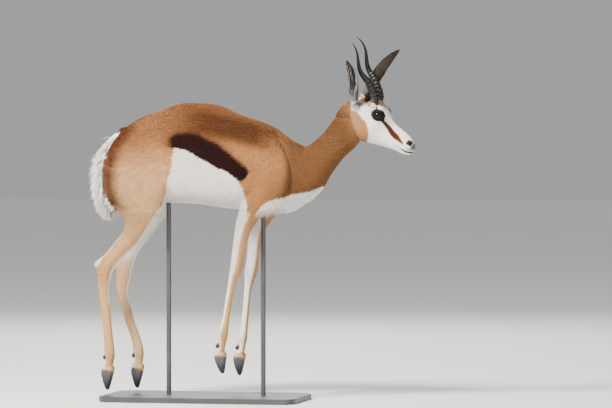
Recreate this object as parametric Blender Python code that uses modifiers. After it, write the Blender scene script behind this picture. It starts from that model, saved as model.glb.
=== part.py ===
"""Life-size springbok caught in mid leap, held over a flat base by two rods.

Metres, +Z up. The animal faces +X, its right side is -Y, and the origin is on the
underside of the base. Heights of the animal are measured from its hind hoof tips.
"""

import math

import bmesh
import bpy
import numpy as np
from mathutils import Matrix, Vector

# Display stand
HOOF_HEIGHT = 0.036
BASE_LENGTH = 0.66
BASE_WIDTH = 0.34
BASE_THICKNESS = 0.018
BASE_CORNER = 0.05
ROD_RADIUS = 0.008
ROD_DEPTH = 0.035
FRONT_ROD_X = 0.195
REAR_ROD_X = -0.125

# Fit between neighbours, and the fineness of the body's surface
GAP = 0.0003
SEAT_GAP = 0.0005
HOOF_GAP = 0.0009
VOXEL = 0.0058
BODY_TRIANGLES = 4800

# Head: its frame starts at the poll, s runs to the nose, w to the left, t to the crown
POLL = (0.4928, 0.0, 0.9377)
HEAD_PITCH = math.radians(34.2)
HEAD_ROLL = math.radians(11.0)
EYE_RADIUS = 0.0172
EYE_PLACE = (0.0984, 0.0385, 0.0318)

# Barrel of the trunk: x, height of the back, height of the belly, half width
TRUNK = (
    (-0.345, 0.775, 0.655, 0.042),
    (-0.318, 0.822, 0.620, 0.066),
    (-0.280, 0.858, 0.600, 0.084),
    (-0.218, 0.897, 0.592, 0.092),
    (-0.151, 0.922, 0.612, 0.090),
    (-0.084, 0.945, 0.613, 0.095),
    (-0.017, 0.947, 0.610, 0.104),
    (0.050, 0.938, 0.600, 0.110),
    (0.117, 0.909, 0.593, 0.109),
    (0.184, 0.887, 0.585, 0.103),
    (0.240, 0.862, 0.583, 0.094),
    (0.290, 0.826, 0.585, 0.082),
    (0.330, 0.806, 0.610, 0.064),
    (0.358, 0.790, 0.645, 0.044),
)

# Neck: x, y, height, half width, half depth
NECK = (
    (0.235, 0.0, 0.715, 0.075, 0.110),
    (0.299, 0.0, 0.709, 0.068, 0.106),
    (0.342, 0.0, 0.7255, 0.060, 0.0865),
    (0.382, 0.0, 0.7570, 0.051, 0.0635),
    (0.425, 0.0, 0.7995, 0.044, 0.0550),
    (0.461, 0.0, 0.8365, 0.043, 0.0575),
    (0.490, 0.0, 0.870, 0.043, 0.0600),
    (0.515, -0.004, 0.893, 0.040, 0.055),
)

# Shoulder and foreleg: half width, half depth from the top of the blade to the coronet
FORE_SIZES = (
    (0.020, 0.030),
    (0.031, 0.052),
    (0.037, 0.064),
    (0.037, 0.066),
    (0.0345, 0.058),
    (0.031, 0.050),
    (0.0275, 0.042),
    (0.0255, 0.0365),
    (0.0220, 0.0300),
    (0.0195, 0.0246),
    (0.0180, 0.0225),
    (0.0185, 0.0222),
    (0.0150, 0.0160),
    (0.0120, 0.0124),
    (0.0116, 0.0122),
    (0.0122, 0.0135),
    (0.0158, 0.0172),
    (0.0130, 0.0126),
    (0.0130, 0.0124),
    (0.0148, 0.0160),
)

# Haunch and hind leg: half width, half depth from the hip to the coronet
HIND_SIZES = (
    (0.020, 0.045),
    (0.040, 0.092),
    (0.048, 0.116),
    (0.049, 0.112),
    (0.045, 0.093),
    (0.040, 0.074),
    (0.0355, 0.058),
    (0.0300, 0.0445),
    (0.0250, 0.0335),
    (0.0210, 0.0290),
    (0.0200, 0.0290),
    (0.0198, 0.0280),
    (0.0155, 0.0215),
    (0.0128, 0.0175),
    (0.0122, 0.0164),
    (0.0128, 0.0166),
    (0.0165, 0.0190),
    (0.0135, 0.0152),
    (0.0152, 0.0178),
)

# Middle of each leg at those sizes: x, distance from the middle plane, height
SHOULDER = (
    (0.210, 0.045, 0.850),
    (0.225, 0.062, 0.790),
    (0.240, 0.070, 0.725),
    (0.236, 0.073, 0.675),
)
RIGHT_FORE = SHOULDER + (
    (0.214, 0.072, 0.640),
    (0.188, 0.070, 0.612),
    (0.1705, 0.067, 0.595),
    (0.1590, 0.066, 0.572),
    (0.1445, 0.065, 0.540),
    (0.1328, 0.064, 0.495),
    (0.1238, 0.063, 0.439),
    (0.1177, 0.062, 0.403),
    (0.1075, 0.061, 0.372),
    (0.0985, 0.060, 0.330),
    (0.0900, 0.060, 0.280),
    (0.0800, 0.059, 0.222),
    (0.0725, 0.058, 0.184),
    (0.0700, 0.057, 0.155),
    (0.0660, 0.056, 0.134),
    (0.0600, 0.056, 0.113),
)
LEFT_FORE = SHOULDER + (
    (0.220, 0.072, 0.638),
    (0.200, 0.070, 0.609),
    (0.1845, 0.067, 0.590),
    (0.1725, 0.066, 0.566),
    (0.1600, 0.065, 0.532),
    (0.1510, 0.064, 0.485),
    (0.1465, 0.063, 0.433),
    (0.1387, 0.062, 0.388),
    (0.1333, 0.061, 0.355),
    (0.1275, 0.060, 0.314),
    (0.1232, 0.060, 0.266),
    (0.1172, 0.059, 0.208),
    (0.1112, 0.058, 0.168),
    (0.1102, 0.057, 0.144),
    (0.1070, 0.056, 0.124),
    (0.0990, 0.056, 0.103),
)
HAUNCH = (
    (-0.235, 0.040, 0.865),
    (-0.226, 0.055, 0.800),
    (-0.203, 0.060, 0.730),
    (-0.210, 0.063, 0.672),
)
RIGHT_HIND = HAUNCH + (
    (-0.206, 0.066, 0.626),
    (-0.203, 0.068, 0.590),
    (-0.206, 0.070, 0.558),
    (-0.2180, 0.070, 0.526),
    (-0.2470, 0.068, 0.491),
    (-0.2820, 0.066, 0.454),
    (-0.3130, 0.064, 0.418),
    (-0.3270, 0.063, 0.386),
    (-0.3315, 0.061, 0.345),
    (-0.3290, 0.060, 0.298),
    (-0.3225, 0.059, 0.235),
    (-0.3155, 0.058, 0.165),
    (-0.3125, 0.057, 0.114),
    (-0.3155, 0.056, 0.084),
    (-0.3190, 0.056, 0.060),
)
LEFT_HIND = HAUNCH + (
    (-0.216, 0.066, 0.626),
    (-0.222, 0.068, 0.588),
    (-0.230, 0.070, 0.553),
    (-0.243, 0.070, 0.518),
    (-0.260, 0.068, 0.484),
    (-0.278, 0.066, 0.445),
    (-0.2915, 0.064, 0.403),
    (-0.2975, 0.063, 0.368),
    (-0.3000, 0.061, 0.330),
    (-0.2925, 0.060, 0.285),
    (-0.2760, 0.059, 0.226),
    (-0.2505, 0.058, 0.155),
    (-0.2435, 0.057, 0.114),
    (-0.2432, 0.056, 0.085),
    (-0.2468, 0.056, 0.060),
)
HOCK = 10

# Hooves: where the toe points, per leg, and how far it reaches
HOOVES = {
    "fore_right": ((0.0635, 0.057), 0.0185),
    "fore_left": ((0.0945, 0.046), 0.0185),
    "hind_right": ((-0.3285, 0.000), 0.0195),
    "hind_left": ((-0.2560, 0.000), 0.0195),
}
CLAW_OFFSET = 0.0085
CLAW_HALF_WIDTH = 0.0078
DEWCLAW_BACK = 0.0150

# Head: s, height of the crown, height of the jaw, half width, how much wider above
HEAD = (
    (-0.022, -0.012, -0.060, 0.030, 0.00),
    (-0.004, 0.022, -0.080, 0.041, 0.00),
    (0.018, 0.045, -0.088, 0.046, 0.05),
    (0.045, 0.059, -0.088, 0.048, 0.12),
    (0.072, 0.065, -0.086, 0.051, 0.20),
    (0.096, 0.061, -0.081, 0.0525, 0.26),
    (0.115, 0.051, -0.074, 0.048, 0.24),
    (0.136, 0.0385, -0.066, 0.0405, 0.14),
    (0.160, 0.0295, -0.057, 0.0335, 0.04),
    (0.186, 0.0275, -0.049, 0.0295, 0.00),
    (0.208, 0.0250, -0.0435, 0.0275, 0.00),
    (0.227, 0.0200, -0.041, 0.0268, 0.02),
    (0.241, 0.0125, -0.036, 0.0235, 0.04),
    (0.2500, 0.004, -0.0270, 0.0165, 0.05),
    (0.2540, -0.005, -0.0180, 0.0080, 0.00),
)

# Horn, the right one mirrored from the left: s, w, t in the head's frame
HORN = (
    (0.0650, 0.0265, 0.0440),
    (0.0560, 0.0280, 0.0690),
    (0.0345, 0.0308, 0.0895),
    (0.0100, 0.0350, 0.1055),
    (-0.0155, 0.0400, 0.1150),
    (-0.0345, 0.0430, 0.1275),
    (-0.0515, 0.0455, 0.1485),
    (-0.0690, 0.0455, 0.1690),
    (-0.0925, 0.0430, 0.1835),
    (-0.1135, 0.0400, 0.1870),
)
HORN_SHARE = {"left": 1.0, "right": 0.93}
HORN_BASE_RADIUS = 0.0145
HORN_RINGS = 11
HORN_RINGED_SHARE = 0.50

# Ears: root and tip in the head's frame, the way each hollow faces, and their sizes
EAR_ROOT = (0.010, 0.043, 0.030)
LEFT_EAR_TIP = (0.0165, 0.122, 0.2110)
RIGHT_EAR_TIP = (-0.0715, -0.114, 0.1465)
LEFT_EAR_FACING = (0.55, 0.85, -0.10)
RIGHT_EAR_FACING = (-0.10, -0.75, -0.35)
EAR_HALF_WIDTH = {"left": 0.0250, "right": 0.0215}
EAR_WALL = 0.0026

# Face: eyelids, nostrils and the line of the mouth, in the head's frame
LID_THICKNESS = 0.0022
LID_OPENING = (0.0142, 0.0120)
NOSTRIL = (0.2325, 0.0085)
NOSTRIL_RADII = (0.0078, 0.0050, 0.0026)
MOUTH_MIDDLE = (0.2050, -0.0160)
MOUTH_FRONT_DROP = 0.0035
MOUTH_RADIUS = 0.0014

# Core of the rump's long white hair: x, y, height, half width, half depth
RUMP = (
    (-0.297, 0.0, 0.842, 0.012, 0.010),
    (-0.316, 0.0, 0.812, 0.036, 0.020),
    (-0.326, 0.0, 0.770, 0.060, 0.029),
    (-0.329, 0.0, 0.720, 0.076, 0.033),
    (-0.329, 0.0, 0.670, 0.080, 0.034),
    (-0.321, 0.0, 0.620, 0.072, 0.030),
    (-0.309, 0.0, 0.590, 0.050, 0.020),
)

# Locks of that hair: rows down the rump, locks across each half, and the size of one
RUMP_LOCK_ROWS = 6
RUMP_LOCKS_ACROSS = 3
RUMP_LOCK = (0.066, 0.0160, 0.0040)
RUMP_LOCK_DEPTH = 0.010
TAIL_SIDE_ROOM = 0.0305

# Tail: x, y, height, half width, half depth
TAIL = (
    (-0.322, 0.0, 0.806, 0.013, 0.012),
    (-0.351, 0.0, 0.776, 0.013, 0.012),
    (-0.368, 0.0, 0.725, 0.012, 0.010),
    (-0.373, 0.0, 0.675, 0.011, 0.009),
    (-0.367, 0.0, 0.625, 0.012, 0.010),
    (-0.355, 0.0, 0.590, 0.013, 0.012),
    (-0.345, 0.0, 0.566, 0.006, 0.005),
)


def clear_scene():
    for obj in list(bpy.data.objects):
        bpy.data.objects.remove(obj, do_unlink=True)


def collection(name):
    made = bpy.data.collections.new(name)
    bpy.context.scene.collection.children.link(made)
    return made


clear_scene()
SPRINGBOK = collection("springbok")
CUTTERS = collection("cutters")
CUTTERS.hide_render = True


def material(name, colour, roughness=0.9, metallic=0.0):
    made = bpy.data.materials.get(name) or bpy.data.materials.new(name)
    made.use_nodes = True
    shader = made.node_tree.nodes["Principled BSDF"]
    shader.inputs["Base Color"].default_value = (*colour, 1.0)
    shader.inputs["Roughness"].default_value = roughness
    shader.inputs["Metallic"].default_value = metallic
    return made


FAWN = material("fawn_coat", (0.45, 0.24, 0.12))
WHITE = material("white_coat", (0.80, 0.76, 0.68))
GREY = material("grey_ear", (0.22, 0.18, 0.15))
HORN_BLACK = material("horn_black", (0.02, 0.018, 0.016), 0.45)
HOOF_SLATE = material("hoof_slate", (0.035, 0.035, 0.04), 0.5)
EYE_DARK = material("eye_dark", (0.01, 0.006, 0.004), 0.08)
STAND_PAINT = material("stand_paint", (0.05, 0.05, 0.055), 0.4, 0.6)


def through(rows, count):
    """Catmull-Rom curve through the rows, every column alike, read at count even steps."""
    rows = np.asarray(rows, float)
    step = np.linspace(0, len(rows) - 1, count)
    low = np.minimum(step.astype(int), len(rows) - 2)
    f = (step - low)[:, None]
    ends = np.vstack([2 * rows[0] - rows[1], rows, 2 * rows[-1] - rows[-2]])
    a, b, c, d = ends[low], ends[low + 1], ends[low + 2], ends[low + 3]
    bend = (2 * a - 5 * b + 4 * c - d) * f**2 + (3 * b - a - 3 * c + d) * f**3
    return b + 0.5 * ((c - a) * f + bend)


def unit(vectors):
    return vectors / np.linalg.norm(vectors, axis=-1, keepdims=True)


def mesh_object(name, points, faces, paint=None, home=CUTTERS):
    """A closed mesh object from points and faces, with its faces turned outwards."""
    mesh = bpy.data.meshes.new(name)
    mesh.from_pydata([tuple(p) for p in points], [], faces)
    shape = bmesh.new()
    shape.from_mesh(mesh)
    bmesh.ops.recalc_face_normals(shape, faces=shape.faces)
    bmesh.ops.triangulate(shape, faces=shape.faces)
    shape.to_mesh(mesh)
    shape.free()
    obj = bpy.data.objects.new(name, mesh)
    home.objects.link(obj)
    if home is CUTTERS:
        obj.hide_render = True
        obj.display_type = "WIRE"
    if paint:
        mesh.materials.append(paint)
    return obj


def skinned(name, rings, paint=None, home=CUTTERS):
    """Rings of points, all with as many, joined by quads and closed by a fan at each end."""
    count, sides = rings.shape[:2]
    ends = np.stack([rings[0].mean(0), rings[-1].mean(0)])
    points = np.vstack([rings.reshape(-1, 3), ends])
    faces = []
    for ring in range(count - 1):
        for side in range(sides):
            after = (side + 1) % sides
            low, high = ring * sides, (ring + 1) * sides
            faces.append((low + side, low + after, high + after, high + side))
    last = (count - 1) * sides
    for side in range(sides):
        after = (side + 1) % sides
        faces.append((side, after, count * sides))
        faces.append((last + side, last + after, count * sides + 1))
    return mesh_object(name, points, faces, paint, home)


def oval(sides, power=2.0, wider_above=0.0):
    """Across and up of a closed section of size 1; power over 2 makes it squarer."""
    turn = np.linspace(0, 2 * math.pi, sides, endpoint=False)
    across = np.sign(np.cos(turn)) * np.abs(np.cos(turn)) ** (2 / power)
    up = np.sign(np.sin(turn)) * np.abs(np.sin(turn)) ** (2 / power)
    return across * (1 + wider_above * up), up


def tube_rings(rows, count, sides, level=False, power=2.0, wider_above=0.0):
    """Rings along a path of rows x, y, height, half width, half depth."""
    x, y, height, half_width, half_depth = through(rows, count).T
    middle = np.stack([x, y, height + HOOF_HEIGHT], axis=1)
    along = unit(np.gradient(middle, axis=0))
    if level:
        along = np.tile((1.0, 0.0, 0.0), (count, 1))
    up = unit(np.cross(along, (0.0, 1.0, 0.0)))
    side = np.cross(up, along)
    across, rise = oval(sides, power, wider_above)
    wide = side[:, None, :] * (half_width[:, None] * across)[..., None]
    deep = up[:, None, :] * (half_depth[:, None] * rise)[..., None]
    return middle[:, None, :] + wide + deep


def sided(rows, side):
    """Rows with their distance from the middle plane put on the right (-1) or left (1)."""
    rows = np.array(rows, float)
    rows[:, 1] *= side
    return rows


def leg_rows(path, sizes, side):
    return sided(np.hstack([path, sizes]), side)


def finished(obj):
    """Applies the object's modifiers."""
    graph = bpy.context.evaluated_depsgraph_get()
    graph.update()
    mesh = bpy.data.meshes.new_from_object(obj.evaluated_get(graph), depsgraph=graph)
    old = obj.data
    obj.modifiers.clear()
    obj.data = mesh
    mesh.name = obj.name
    bpy.data.meshes.remove(old)
    return obj


def largest_piece(obj):
    """Keeps the largest closed surface of the object and drops the rest."""
    shape = bmesh.new()
    shape.from_mesh(obj.data)
    bmesh.ops.remove_doubles(shape, verts=shape.verts, dist=1e-6)
    left = set(shape.verts)
    pieces = []
    while left:
        piece = {left.pop()}
        edge = list(piece)
        while edge:
            near = {link.other_vert(vert) for vert in edge for link in vert.link_edges}
            edge = list(near - piece)
            piece |= near
        left -= piece
        pieces.append(piece)
    pieces.sort(key=len)
    for piece in pieces[:-1]:
        bmesh.ops.delete(shape, geom=list(piece), context="VERTS")
    shape.to_mesh(obj.data)
    shape.free()
    return obj


def boolean(obj, other, operation, solver="EXACT"):
    """Cuts, crosses or joins the object with another one, which stays."""
    cut = obj.modifiers.new("cut", "BOOLEAN")
    cut.operation = operation
    cut.object = other
    cut.solver = solver
    return largest_piece(finished(obj))


def copy_of(obj, name, home=CUTTERS):
    twin = bpy.data.objects.new(name, obj.data.copy())
    home.objects.link(twin)
    if home is CUTTERS:
        twin.hide_render = True
        twin.display_type = "WIRE"
    return twin


def grown(obj, distance):
    """A helper copy of the object with every vertex moved out along its normal."""
    twin = copy_of(obj, obj.name + "_clearance")
    count = len(twin.data.vertices)
    points, normals = np.empty(count * 3), np.empty(count * 3)
    twin.data.vertices.foreach_get("co", points)
    twin.data.vertices.foreach_get("normal", normals)
    twin.data.vertices.foreach_set("co", points + distance * normals)
    return twin


def drop(*objects):
    for obj in objects:
        bpy.data.objects.remove(obj, do_unlink=True)


def seated(obj, carrier, solver="EXACT", gap=SEAT_GAP):
    """Cuts the root of a piece to the surface that carries it, a gap away from it."""
    clear = grown(carrier, gap)
    boolean(obj, clear, "DIFFERENCE", solver)
    drop(clear)
    return obj


def joined(name, pieces, paint, home=SPRINGBOK):
    """One Boolean union of all the pieces, which are removed."""
    first, rest = pieces[0], pieces[1:]
    group = bpy.data.collections.new(name + "_pieces")
    CUTTERS.children.link(group)
    for piece in rest:
        CUTTERS.objects.unlink(piece)
        group.objects.link(piece)
    union = first.modifiers.new("union", "BOOLEAN")
    union.operation = "UNION"
    union.operand_type = "COLLECTION"
    union.collection = group
    union.solver = "MANIFOLD"
    whole = largest_piece(finished(first))
    drop(*rest)
    bpy.data.collections.remove(group)
    for holder in list(whole.users_collection):
        holder.objects.unlink(whole)
    home.objects.link(whole)
    whole.name = name
    whole.hide_render = False
    whole.display_type = "TEXTURED"
    whole.data.materials.clear()
    whole.data.materials.append(paint)
    return whole


def head_axes():
    """The head's s, w and t axes in the model's frame, as three unit vectors."""
    cos_p, sin_p = math.cos(HEAD_PITCH), math.sin(HEAD_PITCH)
    cos_r, sin_r = math.cos(HEAD_ROLL), math.sin(HEAD_ROLL)
    ahead = np.array((cos_p, 0.0, -sin_p))
    upright = np.array((sin_p, 0.0, cos_p))
    left = np.array((0.0, 1.0, 0.0))
    return ahead, left * cos_r + upright * sin_r, upright * cos_r - left * sin_r


def from_head(points):
    """Points s, w, t of the head's frame in the model's frame."""
    ahead, left, crown = head_axes()
    points = np.asarray(points, float)
    origin = np.array(POLL) + (0.0, 0.0, HOOF_HEIGHT)
    return (
        origin
        + points[..., 0:1] * ahead
        + points[..., 1:2] * left
        + points[..., 2:3] * crown
    )


def swelling(points, place, radius, height):
    """How far a round swelling at a place, and at its mirror image, lifts each point."""
    lift = 0.0
    for side in (-1.0, 1.0):
        middle = np.array(place) * (1.0, side, 1.0)
        away = np.linalg.norm((points - middle) / radius, axis=-1)
        lift = lift + height * np.exp(-(away**2))
    return lift


def head_rings(count, sides):
    """The head's rings in its own frame, with brows, cheeks and the hollows of the face."""
    s, top, bottom, half_width, wider = through(HEAD, count).T
    turn = np.linspace(0, 2 * math.pi, sides, endpoint=False)
    across, rise = np.cos(turn), np.sin(turn)
    middle, half = (top + bottom) / 2, (top - bottom) / 2
    width = half_width[:, None] * (1 + wider[:, None] * rise)
    w = width * np.sign(across) * np.abs(across) ** 0.9
    t = middle[:, None] + half[:, None] * rise
    points = np.stack([np.broadcast_to(s[:, None], w.shape), w, t], axis=-1)
    out = np.stack([np.zeros_like(w), np.broadcast_to(across, w.shape), np.broadcast_to(rise, w.shape)], -1)
    lift = swelling(points, (0.094, 0.045, 0.052), 0.018, 0.0055)
    lift += swelling(points, (0.070, 0.040, -0.045), 0.026, 0.0035)
    lift += swelling(points, (0.140, 0.040, 0.004), 0.022, -0.0040)
    lift += swelling(points, (0.060, 0.026, 0.058), 0.016, 0.0040)
    lift += swelling(points, (0.238, 0.018, 0.004), 0.010, 0.0020)
    lift += swelling(points, (0.226, 0.022, -0.009), 0.011, 0.0018)
    lift += swelling(points, (0.226, 0.018, -0.027), 0.010, 0.0018)
    return points + out * lift[..., None]


def body_surface():
    """Trunk, neck, legs and the back of the head as one smooth closed surface."""
    pieces = [
        skinned("barrel", trunk_rings(40, 32)),
        skinned("throat", tube_rings(NECK, 24, 24)),
        skinned("skull", from_head(head_rings(30, 24))),
    ]
    for side, fore, hind in ((-1, RIGHT_FORE, RIGHT_HIND), (1, LEFT_FORE, LEFT_HIND)):
        pieces.append(skinned("foreleg", tube_rings(leg_rows(fore, FORE_SIZES, side), 76, 20)))
        pieces.append(skinned("hind leg", tube_rings(leg_rows(hind, HIND_SIZES, side), 76, 24)))
        pieces.append(skinned("heel", tube_rings(heel_rows(hind, side), 8, 12)))
    shape = bmesh.new()
    for piece in pieces:
        shape.from_mesh(piece.data)
    mesh = bpy.data.meshes.new("body")
    shape.to_mesh(mesh)
    shape.free()
    drop(*pieces)
    body = bpy.data.objects.new("body", mesh)
    CUTTERS.objects.link(body)
    remesh = body.modifiers.new("remesh", "REMESH")
    remesh.mode = "VOXEL"
    remesh.voxel_size = VOXEL
    largest_piece(finished(body))
    relax(body, 12)
    thin = body.modifiers.new("thin", "DECIMATE")
    thin.ratio = BODY_TRIANGLES / (2 * len(body.data.polygons))
    return largest_piece(finished(body))


def trunk_rings(count, sides):
    """The barrel's upright rings, a little narrower along the back than along the belly."""
    x, back, belly, half_width = through(TRUNK, count).T
    rows = np.stack([x, 0 * x, (back + belly) / 2, half_width, (back - belly) / 2], axis=1)
    return tube_rings(rows, count, sides, level=True, power=2.25, wider_above=-0.12)


def heel_rows(path, side):
    """The point of the hock: from inside the joint up and back to the heel bone's end."""
    x, y, height = path[HOCK]
    rows = (
        (x + 0.010, y, height + 0.012, 0.014, 0.014),
        (x - 0.014, y, height + 0.006, 0.014, 0.016),
        (x - 0.034, y, height - 0.004, 0.0125, 0.0135),
        (x - 0.046, y, height - 0.012, 0.0080, 0.0080),
    )
    return sided(rows, side)


def relax(obj, rounds):
    """Evens out the voxel steps without thinning the legs: each round moves every vertex
    half way to the mean of its neighbours and then almost as far back."""
    mesh = obj.data
    count = len(mesh.vertices)
    points = np.empty(count * 3)
    mesh.vertices.foreach_get("co", points)
    points = points.reshape(-1, 3)
    edges = np.empty(len(mesh.edges) * 2, int)
    mesh.edges.foreach_get("vertices", edges)
    one, two = edges.reshape(-1, 2).T
    degree = np.bincount(edges, minlength=count)[:, None]
    for weight in (0.5, -0.52) * rounds:
        total = np.zeros_like(points)
        for axis in range(3):
            total[:, axis] = np.bincount(one, points[two, axis], count)
            total[:, axis] += np.bincount(two, points[one, axis], count)
        points = points + weight * (total / degree - points)
    mesh.vertices.foreach_set("co", points.ravel())
    mesh.update()


def leg_block(name, rows, side, clearance):
    """A prism that holds one leg: rows of height, rear x, front x and inner y."""
    corners = []
    for height, rear, front, inner in rows:
        z = height + HOOF_HEIGHT
        near, far = inner - clearance, 0.30
        rear, front = rear - clearance, front + clearance
        ring = ((rear, near), (front, near), (front, far), (rear, far))
        corners.append([(x, y * side, z) for x, y in ring])
    rings = np.array(corners)
    rings[0, :, 2] += clearance
    return skinned(name, rings)


# Where a leg is parted from the trunk: height, rear x, front x, inner y
FORE_BLOCK = (
    (0.850, 0.185, 0.225, 0.074),
    (0.780, 0.165, 0.285, 0.070),
    (0.700, 0.145, 0.305, 0.060),
    (0.640, 0.130, 0.300, 0.046),
    (0.598, 0.110, 0.265, 0.036),
    (0.570, -0.050, 0.300, 0.004),
    (-0.100, -0.050, 0.300, 0.004),
)
HIND_BLOCK = (
    (0.860, -0.270, -0.190, 0.062),
    (0.790, -0.300, -0.130, 0.056),
    (0.710, -0.305, -0.076, 0.046),
    (0.655, -0.305, -0.080, 0.036),
    (0.615, -0.300, -0.080, 0.022),
    (0.596, -0.298, -0.060, 0.006),
    (0.556, -0.292, -0.060, 0.004),
    (0.538, -0.450, -0.060, 0.004),
    (-0.100, -0.450, -0.060, 0.004),
)


def kept(obj, name, paint):
    """Moves a finished solid among the model's parts."""
    for holder in list(obj.users_collection):
        holder.objects.unlink(obj)
    SPRINGBOK.objects.link(obj)
    obj.name = name
    obj.data.name = name
    obj.hide_render = False
    obj.display_type = "TEXTURED"
    obj.data.materials.clear()
    obj.data.materials.append(paint)
    for face in obj.data.polygons:
        face.use_smooth = True
    return obj


# The neck's two parting planes: x and height of a point, and the lean of each
NECK_BASE = ((0.330, 0.730), math.radians(8.0))
NECK_TOP = ((0.4990, 0.880), math.radians(-13.0))


def plane_side(name, place, lean, ahead, shift):
    """A block that holds everything ahead of, or behind, one leaning plane."""
    x, height = place
    along = Vector((math.cos(lean), 0.0, -math.sin(lean)))
    middle = Vector((x, 0.0, height + HOOF_HEIGHT)) + along * shift
    reach = 0.8 if ahead else -0.8
    bpy.ops.mesh.primitive_cube_add(size=1.0)
    block = bpy.context.object
    block.name = name
    turn = Matrix.Rotation(lean, 4, "Y")
    scale = Matrix.Diagonal((0.8, 1.0, 1.0, 1.0))
    block.data.transform(Matrix.Translation(middle + along * reach / 2) @ turn @ scale)
    for holder in list(block.users_collection):
        holder.objects.unlink(block)
    CUTTERS.objects.link(block)
    block.hide_render = True
    block.display_type = "WIRE"
    return block


def part_body(body):
    """Parts the body into torso, neck and four legs with thin cuts."""
    solids = {}
    for end, rows in (("fore", FORE_BLOCK), ("hind", HIND_BLOCK)):
        for side, word in ((-1, "right"), (1, "left")):
            inner = leg_block("inner", rows, side, 0.0)
            outer = leg_block("outer", rows, side, GAP)
            leg = copy_of(body, "leg")
            boolean(leg, inner, "INTERSECT")
            boolean(body, outer, "DIFFERENCE")
            drop(inner, outer)
            solids[f"leg_{end}_{word}"] = leg
    base, base_lean = NECK_BASE
    top, top_lean = NECK_TOP
    behind = plane_side("behind", base, base_lean, False, 0.0)
    ahead = plane_side("ahead", base, base_lean, True, GAP)
    below = plane_side("below", top, top_lean, False, 0.0)
    neck = copy_of(body, "neck")
    boolean(neck, ahead, "INTERSECT")
    boolean(neck, below, "INTERSECT")
    boolean(body, behind, "INTERSECT")
    drop(behind, ahead, below)
    solids["neck"] = neck
    solids["torso"] = body
    return {name: kept(obj, name, FAWN) for name, obj in solids.items()}


def ball(name, middle, radii, segments=16, rings=10, axes=None):
    """A ball with three radii along the given axes."""
    bpy.ops.mesh.primitive_uv_sphere_add(segments=segments, ring_count=rings, radius=1.0)
    obj = bpy.context.object
    obj.name = name
    frame = Matrix.Identity(4)
    if axes is not None:
        for column, axis in enumerate(axes):
            for row in range(3):
                frame[row][column] = axis[row]
    size = Matrix.Diagonal((*radii, 1.0))
    obj.data.transform(Matrix.Translation(Vector(middle)) @ frame @ size)
    for holder in list(obj.users_collection):
        holder.objects.unlink(obj)
    CUTTERS.objects.link(obj)
    obj.hide_render = True
    return obj


def head_blank():
    """The head ahead of its parting plane, before its openings are cut."""
    head = skinned("head", from_head(head_rings(30, 24)))
    top, lean = NECK_TOP
    front = plane_side("front", top, lean, True, GAP)
    boolean(head, front, "INTERSECT")
    drop(front)
    return head


def surface_at(obj, middle, ways):
    """Where the object's surface is met from a middle point along each way out."""
    places = []
    for way in ways:
        way = Vector(way).normalized()
        hit, place, _, _ = obj.ray_cast(Vector(middle) + way * 0.2, -way)
        places.append(place if hit else Vector(middle))
    return np.array(places)


def eye_axes(side):
    """Three unit vectors of an eye: along its opening, out of the head, and across."""
    ahead, left, crown = head_axes()
    out = unit(0.20 * ahead + 0.95 * side * left + 0.16 * crown)
    along = 0.95 * ahead - 0.30 * crown
    along = unit(along - out * np.dot(out, along))
    return along, out, np.cross(along, out)


def lid_opening(middle, side):
    """An almond-shaped prism that runs outwards from inside the eyeball."""
    along, out, over = eye_axes(side)
    across, rise = oval(14, 1.75)
    half_length, half_height = LID_OPENING
    section = half_length * across[:, None] * along + half_height * rise[:, None] * over
    rings = [np.array(middle) + out * reach + section * size for reach, size in ((0.004, 0.9), (0.030, 1.15))]
    return skinned("lid_opening", np.array(rings))


def nostril(head, side):
    """A slanting comma-shaped pit beside the tip of the nose."""
    ahead, left, crown = head_axes()
    s, t = NOSTRIL
    place = surface_at(head, from_head((s, 0.0, t)), [side * left + 0.25 * ahead])[0]
    out = unit(side * left + 0.45 * ahead)
    slope = unit(0.80 * ahead - 0.60 * crown - out * np.dot(out, 0.80 * ahead - 0.60 * crown))
    return ball("nostril", place, NOSTRIL_RADII, 12, 8, (slope, out, np.cross(slope, out)))


def mouth_groove(head):
    """The line of the mouth: a thin tube round the muzzle from one corner to the other."""
    ahead, left, _ = head_axes()
    s, t = MOUTH_MIDDLE
    turn = np.linspace(-math.pi / 2, math.pi / 2, 15)
    middles = from_head([(s, 0.0, t - MOUTH_FRONT_DROP * math.cos(a) ** 0.8) for a in turn])
    ways = np.cos(turn)[:, None] * ahead + np.sin(turn)[:, None] * left
    path = np.vstack([surface_at(head, m, [w]) for m, w in zip(middles, ways)])
    along = unit(np.gradient(path, axis=0))
    out = unit(ways - along * (ways * along).sum(1, keepdims=True))
    up = np.cross(along, out)
    radius = MOUTH_RADIUS * (0.55 + 0.45 * np.cos(turn) ** 0.5)[:, None, None]
    spin = np.linspace(0, 2 * math.pi, 6, endpoint=False)[None, :, None]
    rings = path[:, None, :] + radius * (np.cos(spin) * out[:, None, :] + np.sin(spin) * up[:, None, :])
    return skinned("mouth", rings)


def build_head():
    """The head with its lids, nostrils, mouth and eye sockets, and the two eyes."""
    axes = head_axes()
    head = head_blank()
    for cutter in (nostril(head, -1), nostril(head, 1), mouth_groove(head)):
        boolean(head, cutter, "DIFFERENCE")
        drop(cutter)
    for side, word in ((-1, "right"), (1, "left")):
        s, w, t = EYE_PLACE
        middle = from_head((s, w * side, t))
        lids = ball("lids", middle, (EYE_RADIUS + LID_THICKNESS,) * 3, 14, 8, axes)
        boolean(head, lids, "UNION")
        opening = lid_opening(middle, side)
        boolean(head, opening, "DIFFERENCE")
        socket = ball("socket", middle, (EYE_RADIUS + GAP,) * 3, 14, 8, axes)
        boolean(head, socket, "DIFFERENCE")
        drop(lids, opening, socket)
        eye = ball("eye_" + word, middle, (EYE_RADIUS,) * 3, 14, 8, axes)
        kept(eye, "eye_" + word, EYE_DARK)
    return kept(head, "head", FAWN)


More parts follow.
